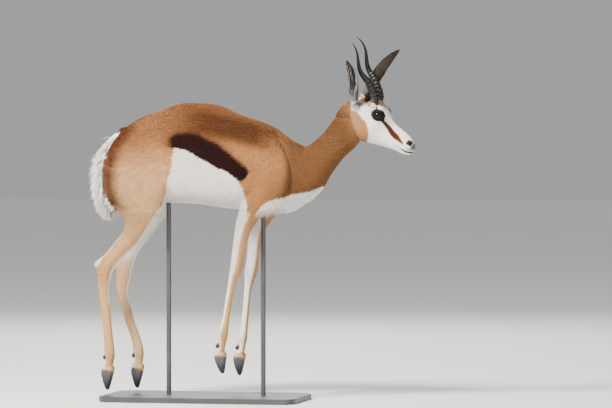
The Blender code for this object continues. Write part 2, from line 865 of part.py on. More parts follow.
def horn(side, word, head):
    """A slender horn of oval section, ringed over its lower half and smooth at the tip."""
    count, sides = 5 + 3 * HORN_RINGS, 8
    path = through(HORN, 200)
    path = path[np.linspace(0, 199 * HORN_SHARE[word], count).astype(int)]
    path[:, 1] *= side
    path = from_head(path)
    share = np.linspace(0, 1, count)
    radius = HORN_BASE_RADIUS * (1 - share) ** 0.9 * (1 - 0.2 * share) + 0.0010
    wave = 0.5 + 0.5 * np.cos(2 * math.pi * share / HORN_RINGED_SHARE * HORN_RINGS)
    radius = radius * (1 + 0.10 * wave * np.clip((HORN_RINGED_SHARE - share) * 12, 0, 1))
    along = unit(np.gradient(path, axis=0))
    across = unit(np.cross(along, head_axes()[1] * side))
    over = np.cross(across, along)
    turn = np.linspace(0, 2 * math.pi, sides, endpoint=False)
    rings = (
        path[:, None, :]
        + (1.12 * radius)[:, None, None] * np.cos(turn)[None, :, None] * across[:, None, :]
        + (0.92 * radius)[:, None, None] * np.sin(turn)[None, :, None] * over[:, None, :]
    )
    made = skinned("horn", rings)
    seated(made, head)
    return kept(made, "horn_" + word, HORN_BLACK)


def ear_rings(root, tip, facing, half_width, lengthwise, crosswise):
    """The ear as closed rings: a leaf rolled almost shut at its root, opening towards
    facing and drawn to a point; each ring runs round the back and returns inside."""
    root, tip = np.array(root), np.array(tip)
    length = np.linalg.norm(tip - root)
    along = (tip - root) / length
    facing = unit(np.array(facing) - along * np.dot(facing, along))
    beside = np.cross(along, facing)
    u = np.linspace(0, 1, lengthwise)[:, None]
    leaf = np.interp(u, (0, 0.12, 0.3, 0.5, 0.7, 0.86, 0.95, 1), (0.52, 0.60, 0.84, 1.0, 0.92, 0.62, 0.30, 0.05))
    leaf = half_width * leaf
    opening = np.interp(u, (0, 0.15, 0.35, 0.6, 1), (2.55, 2.25, 1.60, 1.15, 0.85))
    radius = leaf / np.sin(np.minimum(opening, math.pi / 2))
    solid_root = np.clip(1 - u / 0.22, 0, 1) ** 0.7
    wall = np.minimum(EAR_WALL + (0.85 * radius - EAR_WALL) * solid_root, 0.85 * radius)
    v = np.linspace(-1, 1, crosswise)[None, :]
    turn = np.concatenate([v * opening, (v * (opening - 0.10))[:, ::-1]], axis=1)
    reach = np.concatenate([radius + 0 * v, radius - wall + 0 * v], axis=1)
    sideways = reach * np.sin(turn)
    ahead = radius - reach * np.cos(turn)
    bow = 0.035 * length * np.sin(math.pi * u)
    return (
        root
        + along * (u * length)[..., None]
        + beside * sideways[..., None]
        + facing * (ahead - leaf * 0.9 - bow)[..., None]
    )


def ear(side, word, head):
    """An ear, hollow from its tip down to a solid root that stands on the head."""
    root = np.array(EAR_ROOT) * (1, side, 1)
    tip = LEFT_EAR_TIP if side > 0 else RIGHT_EAR_TIP
    facing = LEFT_EAR_FACING if side > 0 else RIGHT_EAR_FACING
    rings = ear_rings(root, tip, facing, EAR_HALF_WIDTH[word], 14, 9)
    made = skinned("ear", from_head(rings))
    seated(made, head)
    return kept(made, "ear_" + word, GREY)


def claw(name, top, tip, depth, side_shift, leg):
    """One half of a cloven hoof: a blunt half cone with a straight front wall."""
    share = np.linspace(0, 1, 6)
    top, tip = np.array(top), np.array(tip)
    along = unit(tip - top)
    front = np.array((along[2] * -1.0, 0.0, along[0]))
    half_depth = depth * np.interp(share, (0, 0.25, 0.55, 0.85, 1), (0.86, 1.0, 0.74, 0.40, 0.14))
    half_width = CLAW_HALF_WIDTH * np.interp(share, (0, 0.3, 0.7, 1), (0.92, 1.0, 0.8, 0.30))
    path = top + (tip - top) * share[:, None] + front * (depth * 0.95 - half_depth)[:, None] * 0.55
    across, rise = oval(8, 2.6)
    rings = (
        path[:, None, :]
        + np.array((0.0, 1.0, 0.0)) * (half_width[:, None] * across)[..., None]
        + front * (half_depth[:, None] * rise)[..., None]
    )
    rings[..., 1] += side_shift
    made = skinned(name, rings)
    seated(made, leg, gap=HOOF_GAP)
    return kept(made, name, HOOF_SLATE)


def feet(solids):
    paths = {
        "fore_right": (RIGHT_FORE, -1),
        "fore_left": (LEFT_FORE, 1),
        "hind_right": (RIGHT_HIND, -1),
        "hind_left": (LEFT_HIND, 1),
    }
    for word, ((tip_x, tip_height), depth) in HOOVES.items():
        path, side = paths[word]
        leg = solids["leg_" + word]
        x, y, height = path[-1]
        above_x, _, above = path[-2]
        top = ((x + above_x) / 2, y * side, (height + above) / 2 + HOOF_HEIGHT)
        tip = (tip_x, y * side, tip_height + HOOF_HEIGHT)
        for which, shift in (("inner", -side), ("outer", side)):
            claw(f"hoof_{word}_{which}", top, tip, depth, shift * CLAW_OFFSET, leg)
        fet_x, fet_y, fet_height = path[-3]
        for which, shift in (("inner", -side), ("outer", side)):
            middle = (fet_x - DEWCLAW_BACK, fet_y * side + shift * 0.0085, fet_height - 0.006 + HOOF_HEIGHT)
            name = f"dewclaw_{word}_{which}"
            made = ball(name, middle, (0.0065, 0.0050, 0.0095), 8, 6)
            seated(made, leg, gap=HOOF_GAP)
            kept(made, name, HOOF_SLATE)


def lock(name, root, way, bend, size, flat):
    """A flat tapered lock of hair of four sides: widest near its root, bending, pointed."""
    length, half_width, half_depth = size
    share = np.linspace(0, 1, 4)[:, None]
    way = unit(np.array(way, float))
    path = np.array(root) + length * (way * share + np.array(bend) * share**2)
    along = unit(np.gradient(path, axis=0))
    across = unit(np.cross(along, np.array(flat, float)))
    over = np.cross(across, along)
    width = half_width * np.interp(share, (0, 0.25, 0.5, 0.75, 1), (0.70, 1.0, 0.92, 0.60, 0.06))
    depth = half_depth * np.interp(share, (0, 0.25, 0.5, 0.75, 1), (1.0, 1.0, 0.80, 0.50, 0.06))
    rings = np.stack([path + width * across, path + depth * over, path - width * across, path - depth * over], 1)
    return skinned(name, rings)


def rump_locks():
    """Rows of locks over each half of the rump, leaning out and down from the tail."""
    locks = []
    core = np.asarray(RUMP)
    for row in range(RUMP_LOCK_ROWS):
        down = row / (RUMP_LOCK_ROWS - 1)
        height = 0.828 - 0.226 * down
        x, _, _, half_width, half_depth = (np.interp(-height, -core[:, 2], core[:, i]) for i in range(5))
        for column in range(RUMP_LOCKS_ACROSS):
            for side in (-1, 1):
                number = 3 * row + column + (side > 0) * 0.5
                stray = math.sin(7.3 * number)
                step = (column + 0.5 * (row % 2)) / (RUMP_LOCKS_ACROSS - 0.5)
                room = max(half_width - TAIL_SIDE_ROOM - 0.004, 0.006)
                y = TAIL_SIDE_ROOM + step * room
                surface = x - half_depth * math.sqrt(max(1 - (y / half_width) ** 2, 0.04))
                droop = -0.50 - 0.45 * down + 0.06 * stray
                outward = 0.05 + 0.26 * step
                root = (surface + RUMP_LOCK_DEPTH, y * side, height + HOOF_HEIGHT)
                way = (-0.60 + 0.22 * step, outward * side, droop)
                bend = (0.02 + 0.14 * down, 0.03 * side * stray, -0.12)
                flat = (-0.7, 0.6 * step * side, 0.5)
                length = RUMP_LOCK[0] * (1 + 0.08 * stray) * (1 - 0.12 * step - 0.24 * down)
                locks.append(lock("lock", root, way, bend, (length, *RUMP_LOCK[1:]), flat))
    return locks


def rump_and_tail(body):
    """The tail with its tuft, and the rump's hair parted round it, both on the body."""
    stem = skinned("stem", tube_rings(TAIL, 14, 10))
    seated(stem, body)
    pad = skinned("pad", tube_rings(RUMP, 12, 16))
    seated(pad, stem)
    seated(pad, body)
    rump = joined("rump", [pad] + rump_locks(), WHITE)
    seated(rump, body, "MANIFOLD")
    tuft = []
    for number, (x, height, y) in enumerate(((-0.360, 0.600, 0.0), (-0.353, 0.590, 0.004), (-0.353, 0.588, -0.004))):
        root = (x, y, height + HOOF_HEIGHT)
        way = (-0.10 - 0.22 * (number == 0), y * 30, -1.0)
        tuft.append(lock("tuft", root, way, (0.10, 0.0, 0.0), (0.040, 0.0075, 0.0034), (-1.0, y * 60, 0.0)))
    joined("tail", [stem] + tuft, WHITE)
    return rump


def cylinder(name, x, low, high, radius):
    bpy.ops.mesh.primitive_cylinder_add(vertices=24, radius=radius, depth=high - low)
    obj = bpy.context.object
    obj.name = name
    obj.data.transform(Matrix.Translation((x, 0.0, (low + high) / 2)))
    for holder in list(obj.users_collection):
        holder.objects.unlink(obj)
    CUTTERS.objects.link(obj)
    return obj


def belly_height(torso, x):
    """Height of the torso's underside on the middle plane at x."""
    hit, place, _, _ = torso.ray_cast(Vector((x, 0.0, 0.0)), Vector((0.0, 0.0, 1.0)))
    return place.z if hit else 0.65


def stand(torso):
    """A flat base with rounded corners, and two rods that end in bores in the body."""
    shape = bmesh.new()
    bmesh.ops.create_cube(shape, size=1.0)
    bmesh.ops.scale(shape, vec=(BASE_LENGTH, BASE_WIDTH, BASE_THICKNESS), verts=shape.verts)
    bmesh.ops.translate(shape, vec=(0.0, 0.0, BASE_THICKNESS / 2), verts=shape.verts)
    corners = [e for e in shape.edges if abs(e.verts[0].co.z - e.verts[1].co.z) > BASE_THICKNESS / 2]
    bmesh.ops.bevel(shape, geom=corners, offset=BASE_CORNER, segments=6, affect="EDGES", profile=0.5)
    mesh = bpy.data.meshes.new("stand_base")
    shape.to_mesh(mesh)
    shape.free()
    base = bpy.data.objects.new("stand_base", mesh)
    SPRINGBOK.objects.link(base)
    mesh.materials.append(STAND_PAINT)
    for word, x in (("front", FRONT_ROD_X), ("rear", REAR_ROD_X)):
        top = belly_height(torso, x) + ROD_DEPTH
        bore = cylinder("bore", x, top - 2 * ROD_DEPTH - 0.05, top + GAP, ROD_RADIUS + GAP)
        boolean(torso, bore, "DIFFERENCE")
        drop(bore)
        rod = cylinder("rod", x, BASE_THICKNESS + GAP, top, ROD_RADIUS)
        kept(rod, "stand_rod_" + word, STAND_PAINT)


def build():
    body = body_surface()
    rump_and_tail(body)
    solids = part_body(body)
    head = build_head()
    for side, word in ((-1, "right"), (1, "left")):
        horn(side, word, head)
        ear(side, word, head)
    feet(solids)
    stand(solids["torso"])


build()
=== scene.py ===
import math

import bmesh
import bpy
import numpy as np
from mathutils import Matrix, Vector


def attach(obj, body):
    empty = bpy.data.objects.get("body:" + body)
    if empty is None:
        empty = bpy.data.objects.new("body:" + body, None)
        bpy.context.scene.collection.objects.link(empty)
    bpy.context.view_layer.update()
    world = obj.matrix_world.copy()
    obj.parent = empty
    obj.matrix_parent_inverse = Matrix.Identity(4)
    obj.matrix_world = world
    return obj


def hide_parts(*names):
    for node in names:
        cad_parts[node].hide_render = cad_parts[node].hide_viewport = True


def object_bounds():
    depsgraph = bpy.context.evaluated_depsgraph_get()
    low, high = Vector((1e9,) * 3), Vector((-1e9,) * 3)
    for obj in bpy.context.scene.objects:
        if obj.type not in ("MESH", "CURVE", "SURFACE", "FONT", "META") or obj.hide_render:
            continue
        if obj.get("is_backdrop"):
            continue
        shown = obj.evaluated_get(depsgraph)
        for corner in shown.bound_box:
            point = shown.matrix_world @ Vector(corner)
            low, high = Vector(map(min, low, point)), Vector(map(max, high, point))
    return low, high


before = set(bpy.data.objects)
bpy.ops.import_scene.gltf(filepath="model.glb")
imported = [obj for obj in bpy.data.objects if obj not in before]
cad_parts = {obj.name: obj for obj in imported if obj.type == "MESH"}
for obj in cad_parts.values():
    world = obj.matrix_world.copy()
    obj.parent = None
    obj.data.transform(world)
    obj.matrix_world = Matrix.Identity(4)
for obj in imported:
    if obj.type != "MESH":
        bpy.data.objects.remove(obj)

solid_low, solid_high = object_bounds()

# The studio: a pale floor without a seam, one large soft lamp high on the viewer's left,
# a weaker one on the right and one behind. The lens stands 12 m off, as far as a wildlife
# picture is taken from, 12 degrees ahead of square on and level with the animal's back.
HOOF_HEIGHT = 0.036
PIXELS_PER_METRE = 305.0
PICTURE_WIDTH = 612
MIDDLE_ROW = 204
HOOF_ROW = 391
SENSOR_WIDTH = 36.0
LENS_DISTANCE = 12.0
LENS_AZIMUTH = math.radians(12.0)
LENS_ELEVATION = math.radians(1.0)
LENS_AIM = Vector((0.3386, 0.0, HOOF_HEIGHT + (HOOF_ROW - MIDDLE_ROW) / PIXELS_PER_METRE))

lens = bpy.data.cameras.new("lens")
lens.sensor_width = SENSOR_WIDTH
lens.lens = SENSOR_WIDTH * PIXELS_PER_METRE * LENS_DISTANCE / PICTURE_WIDTH
lens.clip_end = 200.0
camera = bpy.data.objects.new("camera", lens)
bpy.context.scene.collection.objects.link(camera)
flat_reach = LENS_DISTANCE * math.cos(LENS_ELEVATION)
camera.location = LENS_AIM + Vector((
    flat_reach * math.sin(LENS_AZIMUTH),
    -flat_reach * math.cos(LENS_AZIMUTH),
    LENS_DISTANCE * math.sin(LENS_ELEVATION),
))
camera.rotation_euler = (LENS_AIM - camera.location).to_track_quat("-Z", "Y").to_euler()
bpy.context.scene.camera = camera


def soft_lamp(name, place, aim, size, power, colour):
    """A square area lamp at a place, turned to face its aim."""
    lamp = bpy.data.lights.new(name, "AREA")
    lamp.shape = "SQUARE"
    lamp.size = size
    lamp.energy = power
    lamp.color = colour
    holder = bpy.data.objects.new(name, lamp)
    bpy.context.scene.collection.objects.link(holder)
    holder.location = place
    holder.rotation_euler = (Vector(aim) - Vector(place)).to_track_quat("-Z", "Y").to_euler()


soft_lamp("key_lamp", (-1.9, -3.4, 4.4), (0.05, 0.0, 0.75), 1.3, 1020.0, (1.0, 0.955, 0.885))
soft_lamp("fill_lamp", (3.4, -3.8, 1.0), (0.25, 0.0, 0.7), 2.4, 95.0, (0.93, 0.96, 1.0))
soft_lamp("back_lamp", (-0.8, 4.4, 3.4), (0.0, 0.0, 0.75), 2.6, 220.0, (1.0, 0.98, 0.95))

# One wide lamp far overhead lights the whole floor evenly.
high_lamp = bpy.data.lights.new("ceiling_lamp", "SUN")
high_lamp.energy = 0.62
high_lamp.angle = math.radians(40.0)
high_holder = bpy.data.objects.new("ceiling_lamp", high_lamp)
bpy.context.scene.collection.objects.link(high_holder)
high_holder.rotation_euler = (math.radians(12.0), 0.0, 0.0)

air = bpy.data.worlds.new("studio_air")
air.use_nodes = True
air.node_tree.nodes["Background"].inputs["Color"].default_value = (0.93, 0.94, 0.96, 1.0)
air.node_tree.nodes["Background"].inputs["Strength"].default_value = 0.43
bpy.context.scene.world = air


def surface(name, points, triangles):
    """A smooth-shaded mesh object at the origin from arrays of points and triangles."""
    points = np.ascontiguousarray(points, dtype=np.float32)
    triangles = np.ascontiguousarray(triangles, dtype=np.int32)
    mesh = bpy.data.meshes.new(name)
    mesh.vertices.add(len(points))
    mesh.vertices.foreach_set("co", points.ravel())
    mesh.loops.add(triangles.size)
    mesh.loops.foreach_set("vertex_index", triangles.ravel())
    mesh.polygons.add(len(triangles))
    mesh.polygons.foreach_set("loop_start", np.arange(0, triangles.size, 3, dtype=np.int32))
    mesh.update(calc_edges=True)
    mesh.shade_smooth()
    obj = bpy.data.objects.new(name, mesh)
    bpy.context.scene.collection.objects.link(obj)
    return obj


def shader_of(paint):
    """A material's main shader."""
    return paint.node_tree.nodes["Principled BSDF"]


def new_material(name, colour, roughness, specular=0.5):
    """A material of one colour, roughness and specular level."""
    made = bpy.data.materials.new(name)
    made.use_nodes = True
    shader = shader_of(made)
    shader.inputs["Base Color"].default_value = (*colour, 1.0)
    shader.inputs["Roughness"].default_value = roughness
    shader.inputs["Specular IOR Level"].default_value = specular
    return made


FLOOR_REACH = 40.0
corners = FLOOR_REACH * np.array([(-1, -1, 0), (1, -1, 0), (1, 1, 0), (-1, 1, 0)])
floor = surface("studio_floor", corners, [(0, 1, 2), (0, 2, 3)])
floor.data.materials.append(new_material("studio_floor_paint", (0.74, 0.73, 0.71), 0.85))
floor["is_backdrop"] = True


# The display stand: a flat steel plate with rounded corners and two round steel rods that
# run up into bores in the body, all sprayed in one satin dark grey paint.
def node(paint, kind, **values):
    """Adds a node of a kind to a material and sets its plain values and sockets by name."""
    made = paint.node_tree.nodes.new(kind)
    for name, value in values.items():
        if hasattr(made, name):
            setattr(made, name, value)
        else:
            made.inputs[name.replace("_", " ")].default_value = value
    return made


def wire(paint, one, out, other, into):
    """Joins one node's outlet to another node's inlet, both named."""
    paint.node_tree.links.new(one.outputs[out], other.inputs[into])


def ramp_of(paint, stops):
    """A colour ramp through the stops, each a position and a colour, to the base colour."""
    ramp = node(paint, "ShaderNodeValToRGB")
    elements = ramp.color_ramp.elements
    for element, (position, colour) in zip((elements[0], elements[1]), (stops[0], stops[-1])):
        element.position = position
        element.color = (*colour, 1.0)
    for position, colour in stops[1:-1]:
        elements.new(position).color = (*colour, 1.0)
    wire(paint, ramp, "Color", shader_of(paint), "Base Color")
    return ramp


def mottled(paint, light, dark, scale):
    """Base colour that wanders between two colours by noise on object coordinates."""
    place = node(paint, "ShaderNodeTexCoord")
    noise = node(paint, "ShaderNodeTexNoise", Scale=scale, Detail=4.0)
    wire(paint, place, "Object", noise, "Vector")
    wire(paint, noise, "Fac", ramp_of(paint, ((0.35, dark), (0.65, light))), "Fac")


def rippled(paint, scale, depth, detail=3.0, stretch=(1, 1, 1)):
    """Bump from noise on object coordinates: scale in lumps per metre, depth in metres."""
    place = node(paint, "ShaderNodeTexCoord")
    turn = node(paint, "ShaderNodeMapping", Scale=stretch)
    noise = node(paint, "ShaderNodeTexNoise", Scale=scale, Detail=detail)
    bump = node(paint, "ShaderNodeBump", Strength=1.0, Distance=depth)
    wire(paint, place, "Object", turn, "Vector")
    wire(paint, turn, "Vector", noise, "Vector")
    wire(paint, noise, "Fac", bump, "Height")
    wire(paint, bump, "Normal", shader_of(paint), "Normal")


stand_paint = new_material("satin_stand_paint", (0.05, 0.052, 0.056), 0.42)
mottled(stand_paint, (0.060, 0.062, 0.066), (0.042, 0.043, 0.047), 9.0)
rippled(stand_paint, 420.0, 0.00025)
for name in ("stand_base", "stand_rod_front", "stand_rod_rear"):
    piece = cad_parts[name]
    piece.data.materials.clear()
    piece.data.materials.append(stand_paint)


# The body: one skin without a seam over trunk, neck, head, ears, legs, rump and tail. It
# lies under the hair by the depth of the coat. The forms are drawn as sections carried
# along the trunk, the neck, the head and each leg, run together and smoothed like clay.
COAT_DEPTH = 0.0042
HEAD_COAT_DEPTH = 0.0018

# Trunk: x, height of the back, height of the belly, half width
TRUNK = (
    (-0.345, 0.775, 0.655, 0.042),
    (-0.318, 0.822, 0.620, 0.066),
    (-0.280, 0.858, 0.600, 0.084),
    (-0.218, 0.897, 0.592, 0.092),
    (-0.151, 0.922, 0.612, 0.090),
    (-0.084, 0.945, 0.613, 0.095),
    (-0.017, 0.947, 0.610, 0.104),
    (0.050, 0.938, 0.600, 0.110),
    (0.117, 0.909, 0.593, 0.109),
    (0.184, 0.887, 0.585, 0.103),
    (0.240, 0.862, 0.583, 0.094),
    (0.290, 0.826, 0.585, 0.082),
    (0.330, 0.806, 0.610, 0.064),
    (0.358, 0.790, 0.645, 0.044),
)

# Neck: x, y, height, half width, half depth
NECK = (
    (0.235, 0.0, 0.715, 0.075, 0.110),
    (0.299, 0.0, 0.709, 0.068, 0.106),
    (0.342, 0.0, 0.7255, 0.060, 0.0865),
    (0.382, 0.0, 0.7570, 0.051, 0.0635),
    (0.425, 0.0, 0.7995, 0.044, 0.0550),
    (0.461, 0.0, 0.8365, 0.043, 0.0575),
    (0.490, 0.0, 0.870, 0.043, 0.0600),
    (0.515, -0.004, 0.893, 0.040, 0.055),
)

# Shoulder and foreleg: half width, half depth from the top of the blade to the coronet
FORE_SIZES = (
    (0.020, 0.030),
    (0.031, 0.052),
    (0.037, 0.064),
    (0.037, 0.066),
    (0.0345, 0.058),
    (0.031, 0.050),
    (0.0275, 0.042),
    (0.0255, 0.0365),
    (0.0220, 0.0300),
    (0.0195, 0.0246),
    (0.0180, 0.0225),
    (0.0185, 0.0222),
    (0.0150, 0.0160),
    (0.0120, 0.0124),
    (0.0116, 0.0122),
    (0.0122, 0.0135),
    (0.0158, 0.0172),
    (0.0130, 0.0126),
    (0.0130, 0.0124),
    (0.0148, 0.0160),
)

# Haunch and hind leg: half width, half depth from the hip to the coronet
HIND_SIZES = (
    (0.020, 0.045),
    (0.040, 0.092),
    (0.048, 0.116),
    (0.049, 0.112),
    (0.045, 0.093),
    (0.040, 0.074),
    (0.0355, 0.058),
    (0.0300, 0.0445),
    (0.0250, 0.0335),
    (0.0210, 0.0290),
    (0.0200, 0.0290),
    (0.0198, 0.0280),
    (0.0155, 0.0215),
    (0.0128, 0.0175),
    (0.0122, 0.0164),
    (0.0128, 0.0166),
    (0.0165, 0.0190),
    (0.0135, 0.0152),
    (0.0152, 0.0178),
)

# Middle of each leg at those sizes: x, distance from the middle plane, height
SHOULDER = (
    (0.210, 0.045, 0.850),
    (0.225, 0.062, 0.790),
    (0.240, 0.070, 0.725),
    (0.236, 0.073, 0.675),
)
RIGHT_FORE = SHOULDER + (
    (0.214, 0.072, 0.640),
    (0.188, 0.070, 0.612),
    (0.1705, 0.067, 0.595),
    (0.1590, 0.066, 0.572),
    (0.1445, 0.065, 0.540),
    (0.1328, 0.064, 0.495),
    (0.1238, 0.063, 0.439),
    (0.1177, 0.062, 0.403),
    (0.1075, 0.061, 0.372),
    (0.0985, 0.060, 0.330),
    (0.0900, 0.060, 0.280),
    (0.0800, 0.059, 0.222),
    (0.0725, 0.058, 0.184),
    (0.0700, 0.057, 0.155),
    (0.0660, 0.056, 0.134),
    (0.0600, 0.056, 0.113),
)
LEFT_FORE = SHOULDER + (
    (0.220, 0.072, 0.638),
    (0.200, 0.070, 0.609),
    (0.1845, 0.067, 0.590),
    (0.1725, 0.066, 0.566),
    (0.1600, 0.065, 0.532),
    (0.1510, 0.064, 0.485),
    (0.1465, 0.063, 0.433),
    (0.1387, 0.062, 0.388),
    (0.1333, 0.061, 0.355),
    (0.1275, 0.060, 0.314),
    (0.1232, 0.060, 0.266),
    (0.1172, 0.059, 0.208),
    (0.1112, 0.058, 0.168),
    (0.1102, 0.057, 0.144),
    (0.1070, 0.056, 0.124),
    (0.0990, 0.056, 0.103),
)
HAUNCH = (
    (-0.235, 0.040, 0.865),
    (-0.226, 0.055, 0.800),
    (-0.203, 0.060, 0.730),
    (-0.210, 0.063, 0.672),
)
RIGHT_HIND = HAUNCH + (
    (-0.206, 0.066, 0.626),
    (-0.203, 0.068, 0.590),
    (-0.206, 0.070, 0.558),
    (-0.2180, 0.070, 0.526),
    (-0.2470, 0.068, 0.491),
    (-0.2820, 0.066, 0.454),
    (-0.3130, 0.064, 0.418),
    (-0.3270, 0.063, 0.386),
    (-0.3315, 0.061, 0.345),
    (-0.3290, 0.060, 0.298),
    (-0.3225, 0.059, 0.235),
    (-0.3155, 0.058, 0.165),
    (-0.3125, 0.057, 0.114),
    (-0.3155, 0.056, 0.084),
    (-0.3190, 0.056, 0.060),
)
LEFT_HIND = HAUNCH + (
    (-0.216, 0.066, 0.626),
    (-0.222, 0.068, 0.588),
    (-0.230, 0.070, 0.553),
    (-0.243, 0.070, 0.518),
    (-0.260, 0.068, 0.484),
    (-0.278, 0.066, 0.445),
    (-0.2915, 0.064, 0.403),
    (-0.2975, 0.063, 0.368),
    (-0.3000, 0.061, 0.330),
    (-0.2925, 0.060, 0.285),
    (-0.2760, 0.059, 0.226),
    (-0.2505, 0.058, 0.155),
    (-0.2435, 0.057, 0.114),
    (-0.2432, 0.056, 0.085),
    (-0.2468, 0.056, 0.060),
)
HOCK = 10

# Head: its frame starts at the poll, s runs to the nose, w to the left, t to the crown.
# Rows of s, height of the crown, height of the jaw, half width, how much wider above
POLL = (0.4928, 0.0, 0.9377)
HEAD_PITCH = math.radians(34.2)
HEAD_ROLL = math.radians(11.0)
HEAD = (
    (-0.022, -0.012, -0.060, 0.030, 0.00),
    (-0.004, 0.022, -0.080, 0.041, 0.00),
    (0.018, 0.045, -0.088, 0.046, 0.05),
    (0.045, 0.059, -0.088, 0.048, 0.12),
    (0.072, 0.065, -0.086, 0.051, 0.20),
    (0.096, 0.061, -0.081, 0.0525, 0.26),
    (0.115, 0.051, -0.074, 0.048, 0.24),
    (0.136, 0.0385, -0.066, 0.0405, 0.14),
    (0.160, 0.0295, -0.057, 0.0335, 0.04),
    (0.186, 0.0275, -0.049, 0.0295, 0.00),
    (0.208, 0.0250, -0.0435, 0.0275, 0.00),
    (0.227, 0.0200, -0.041, 0.0268, 0.02),
    (0.241, 0.0125, -0.036, 0.0235, 0.04),
    (0.2500, 0.004, -0.0270, 0.0165, 0.05),
    (0.2540, -0.005, -0.0180, 0.0080, 0.00),
)

# Swellings of the head, mirrored on both sides: place, radius, height above the section
SWELLINGS = (
    ((0.094, 0.045, 0.052), 0.018, 0.0055),
    ((0.070, 0.040, -0.045), 0.026, 0.0035),
    ((0.140, 0.040, 0.004), 0.022, -0.0040),
    ((0.060, 0.026, 0.058), 0.016, 0.0040),
    ((0.238, 0.018, 0.004), 0.010, 0.0020),
    ((0.226, 0.022, -0.009), 0.011, 0.0018),
    ((0.226, 0.018, -0.027), 0.010, 0.0018),
)

# Eyes, ears, nostrils and mouth in the head's frame
SIDES = ((-1, "right"), (1, "left"))
EYE_RADIUS = 0.0172
EYE_PLACE = (0.0984, 0.0385, 0.0318)
LID_THICKNESS = 0.0014
LID_OPENING = (0.0146, 0.0124)
EAR_ROOT = (0.010, 0.043, 0.030)
EAR_TIP = {"left": (0.0165, 0.122, 0.2110), "right": (-0.0715, -0.114, 0.1465)}
EAR_FACING = {"left": (0.55, 0.85, -0.10), "right": (-0.10, -0.75, -0.35)}
EAR_HALF_WIDTH = {"left": 0.0250, "right": 0.0215}
EAR_WALL = 0.0016
EAR_ROWS = 72
EAR_COLUMNS = 34
NOSTRIL = (0.2325, 0.0085)
NOSTRIL_RADII = (0.0074, 0.0055, 0.0024)
MOUTH_MIDDLE = (0.2050, -0.0160)
MOUTH_DROP = 0.0035
MOUTH_RADIUS = 0.0012

# Rump under its long hair, and the tail: x, y, height, half width, half depth
RUMP = (
    (-0.297, 0.0, 0.842, 0.012, 0.010),
    (-0.316, 0.0, 0.812, 0.036, 0.020),
    (-0.326, 0.0, 0.770, 0.060, 0.029),
    (-0.329, 0.0, 0.720, 0.076, 0.033),
    (-0.329, 0.0, 0.670, 0.080, 0.034),
    (-0.321, 0.0, 0.620, 0.072, 0.030),
    (-0.309, 0.0, 0.590, 0.050, 0.020),
)
TAIL = (
    (-0.322, 0.0, 0.806, 0.013, 0.012),
    (-0.351, 0.0, 0.776, 0.013, 0.012),
    (-0.368, 0.0, 0.725, 0.012, 0.010),
    (-0.373, 0.0, 0.675, 0.011, 0.009),
    (-0.367, 0.0, 0.625, 0.012, 0.010),
    (-0.355, 0.0, 0.590, 0.013, 0.012),
    (-0.345, 0.0, 0.566, 0.006, 0.005),
)


def through(rows, count):
    """A smooth curve (Catmull-Rom cubic) through the rows, every column alike, read at
    count even steps."""
    rows = np.asarray(rows, float)
    step = np.linspace(0, len(rows) - 1, count)
    low = np.minimum(step.astype(int), len(rows) - 2)
    f = (step - low)[:, None]
    ends = np.vstack([2 * rows[0] - rows[1], rows, 2 * rows[-1] - rows[-2]])
    a, b, c, d = ends[low], ends[low + 1], ends[low + 2], ends[low + 3]
    bend = (2 * a - 5 * b + 4 * c - d) * f**2 + (3 * b - a - 3 * c + d) * f**3
    return b + 0.5 * ((c - a) * f + bend)


def unit(vectors):
    """The vectors divided by their lengths."""
    return vectors / np.maximum(np.linalg.norm(vectors, axis=-1, keepdims=True), 1e-12)


def smooth_step(low, high, value):
    """0 below low, 1 above high, and the cubic 3f^2 - 2f^3 between them."""
    f = np.clip((value - low) / (high - low), 0, 1)
    return f * f * (3 - 2 * f)


def oval(sides, power=2.0, wider_above=0.0):
    """Across and up of a closed section of size 1: a superellipse of the given power."""
    turn = np.linspace(0, 2 * math.pi, sides, endpoint=False)
    across = np.sign(np.cos(turn)) * np.abs(np.cos(turn)) ** (2 / power)
    up = np.sign(np.sin(turn)) * np.abs(np.sin(turn)) ** (2 / power)
    return across * (1 + wider_above * up), up


def fullness(size):
    """How full the coat is on a limb of this half size: 1 from 50 mm up, least 0.22."""
    return np.clip(size / 0.05, 0.22, 1.0)


def under_coat(size):
    """A half size less the coat's depth, which thins towards the slender legs."""
    return size - fullness(size) * COAT_DEPTH


def tube(rows, count, sides, level=False, power=2.0, wider_above=0.0):
    """Ovals carried along a path: rows of x, y, height, half width, half depth."""
    x, y, height, half_width, half_depth = through(rows, count).T
    middle = np.stack([x, y, height + HOOF_HEIGHT], axis=1)
    along = unit(np.gradient(middle, axis=0))
    if level:
        along = np.tile((1.0, 0.0, 0.0), (count, 1))
    up = unit(np.cross(along, (0.0, 1.0, 0.0)))
    side = np.cross(up, along)
    across, rise = oval(sides, power, wider_above)
    wide = side[:, None, :] * (under_coat(half_width)[:, None] * across)[..., None]
    deep = up[:, None, :] * (under_coat(half_depth)[:, None] * rise)[..., None]
    return middle[:, None, :] + wide + deep


def sided(rows, side):
    """Rows with their distance from the middle plane put on the right (-1) or left (1)."""
    rows = np.array(rows, float)
    rows[:, 1] *= side
    return rows


def tube_triangles(rings, sides):
    """Two triangles for each cell between neighbouring rings, and a fan over each end to a
    middle point; those two points are numbered after all the rings' points."""
    side = np.arange(sides)
    after, last = (side + 1) % sides, (rings - 1) * sides
    start = np.arange(rings - 1)[:, None] * sides
    a, b = start + side, start + after
    c, d = b + sides, a + sides
    wall = np.stack([a, b, c, a, c, d], axis=-1).reshape(-1, 3)
    first_fan = np.stack([after, side, np.full(sides, rings * sides)], axis=1)
    last_fan = np.stack([last + side, last + after, np.full(sides, rings * sides + 1)], axis=1)
    return np.vstack([wall, first_fan, last_fan])


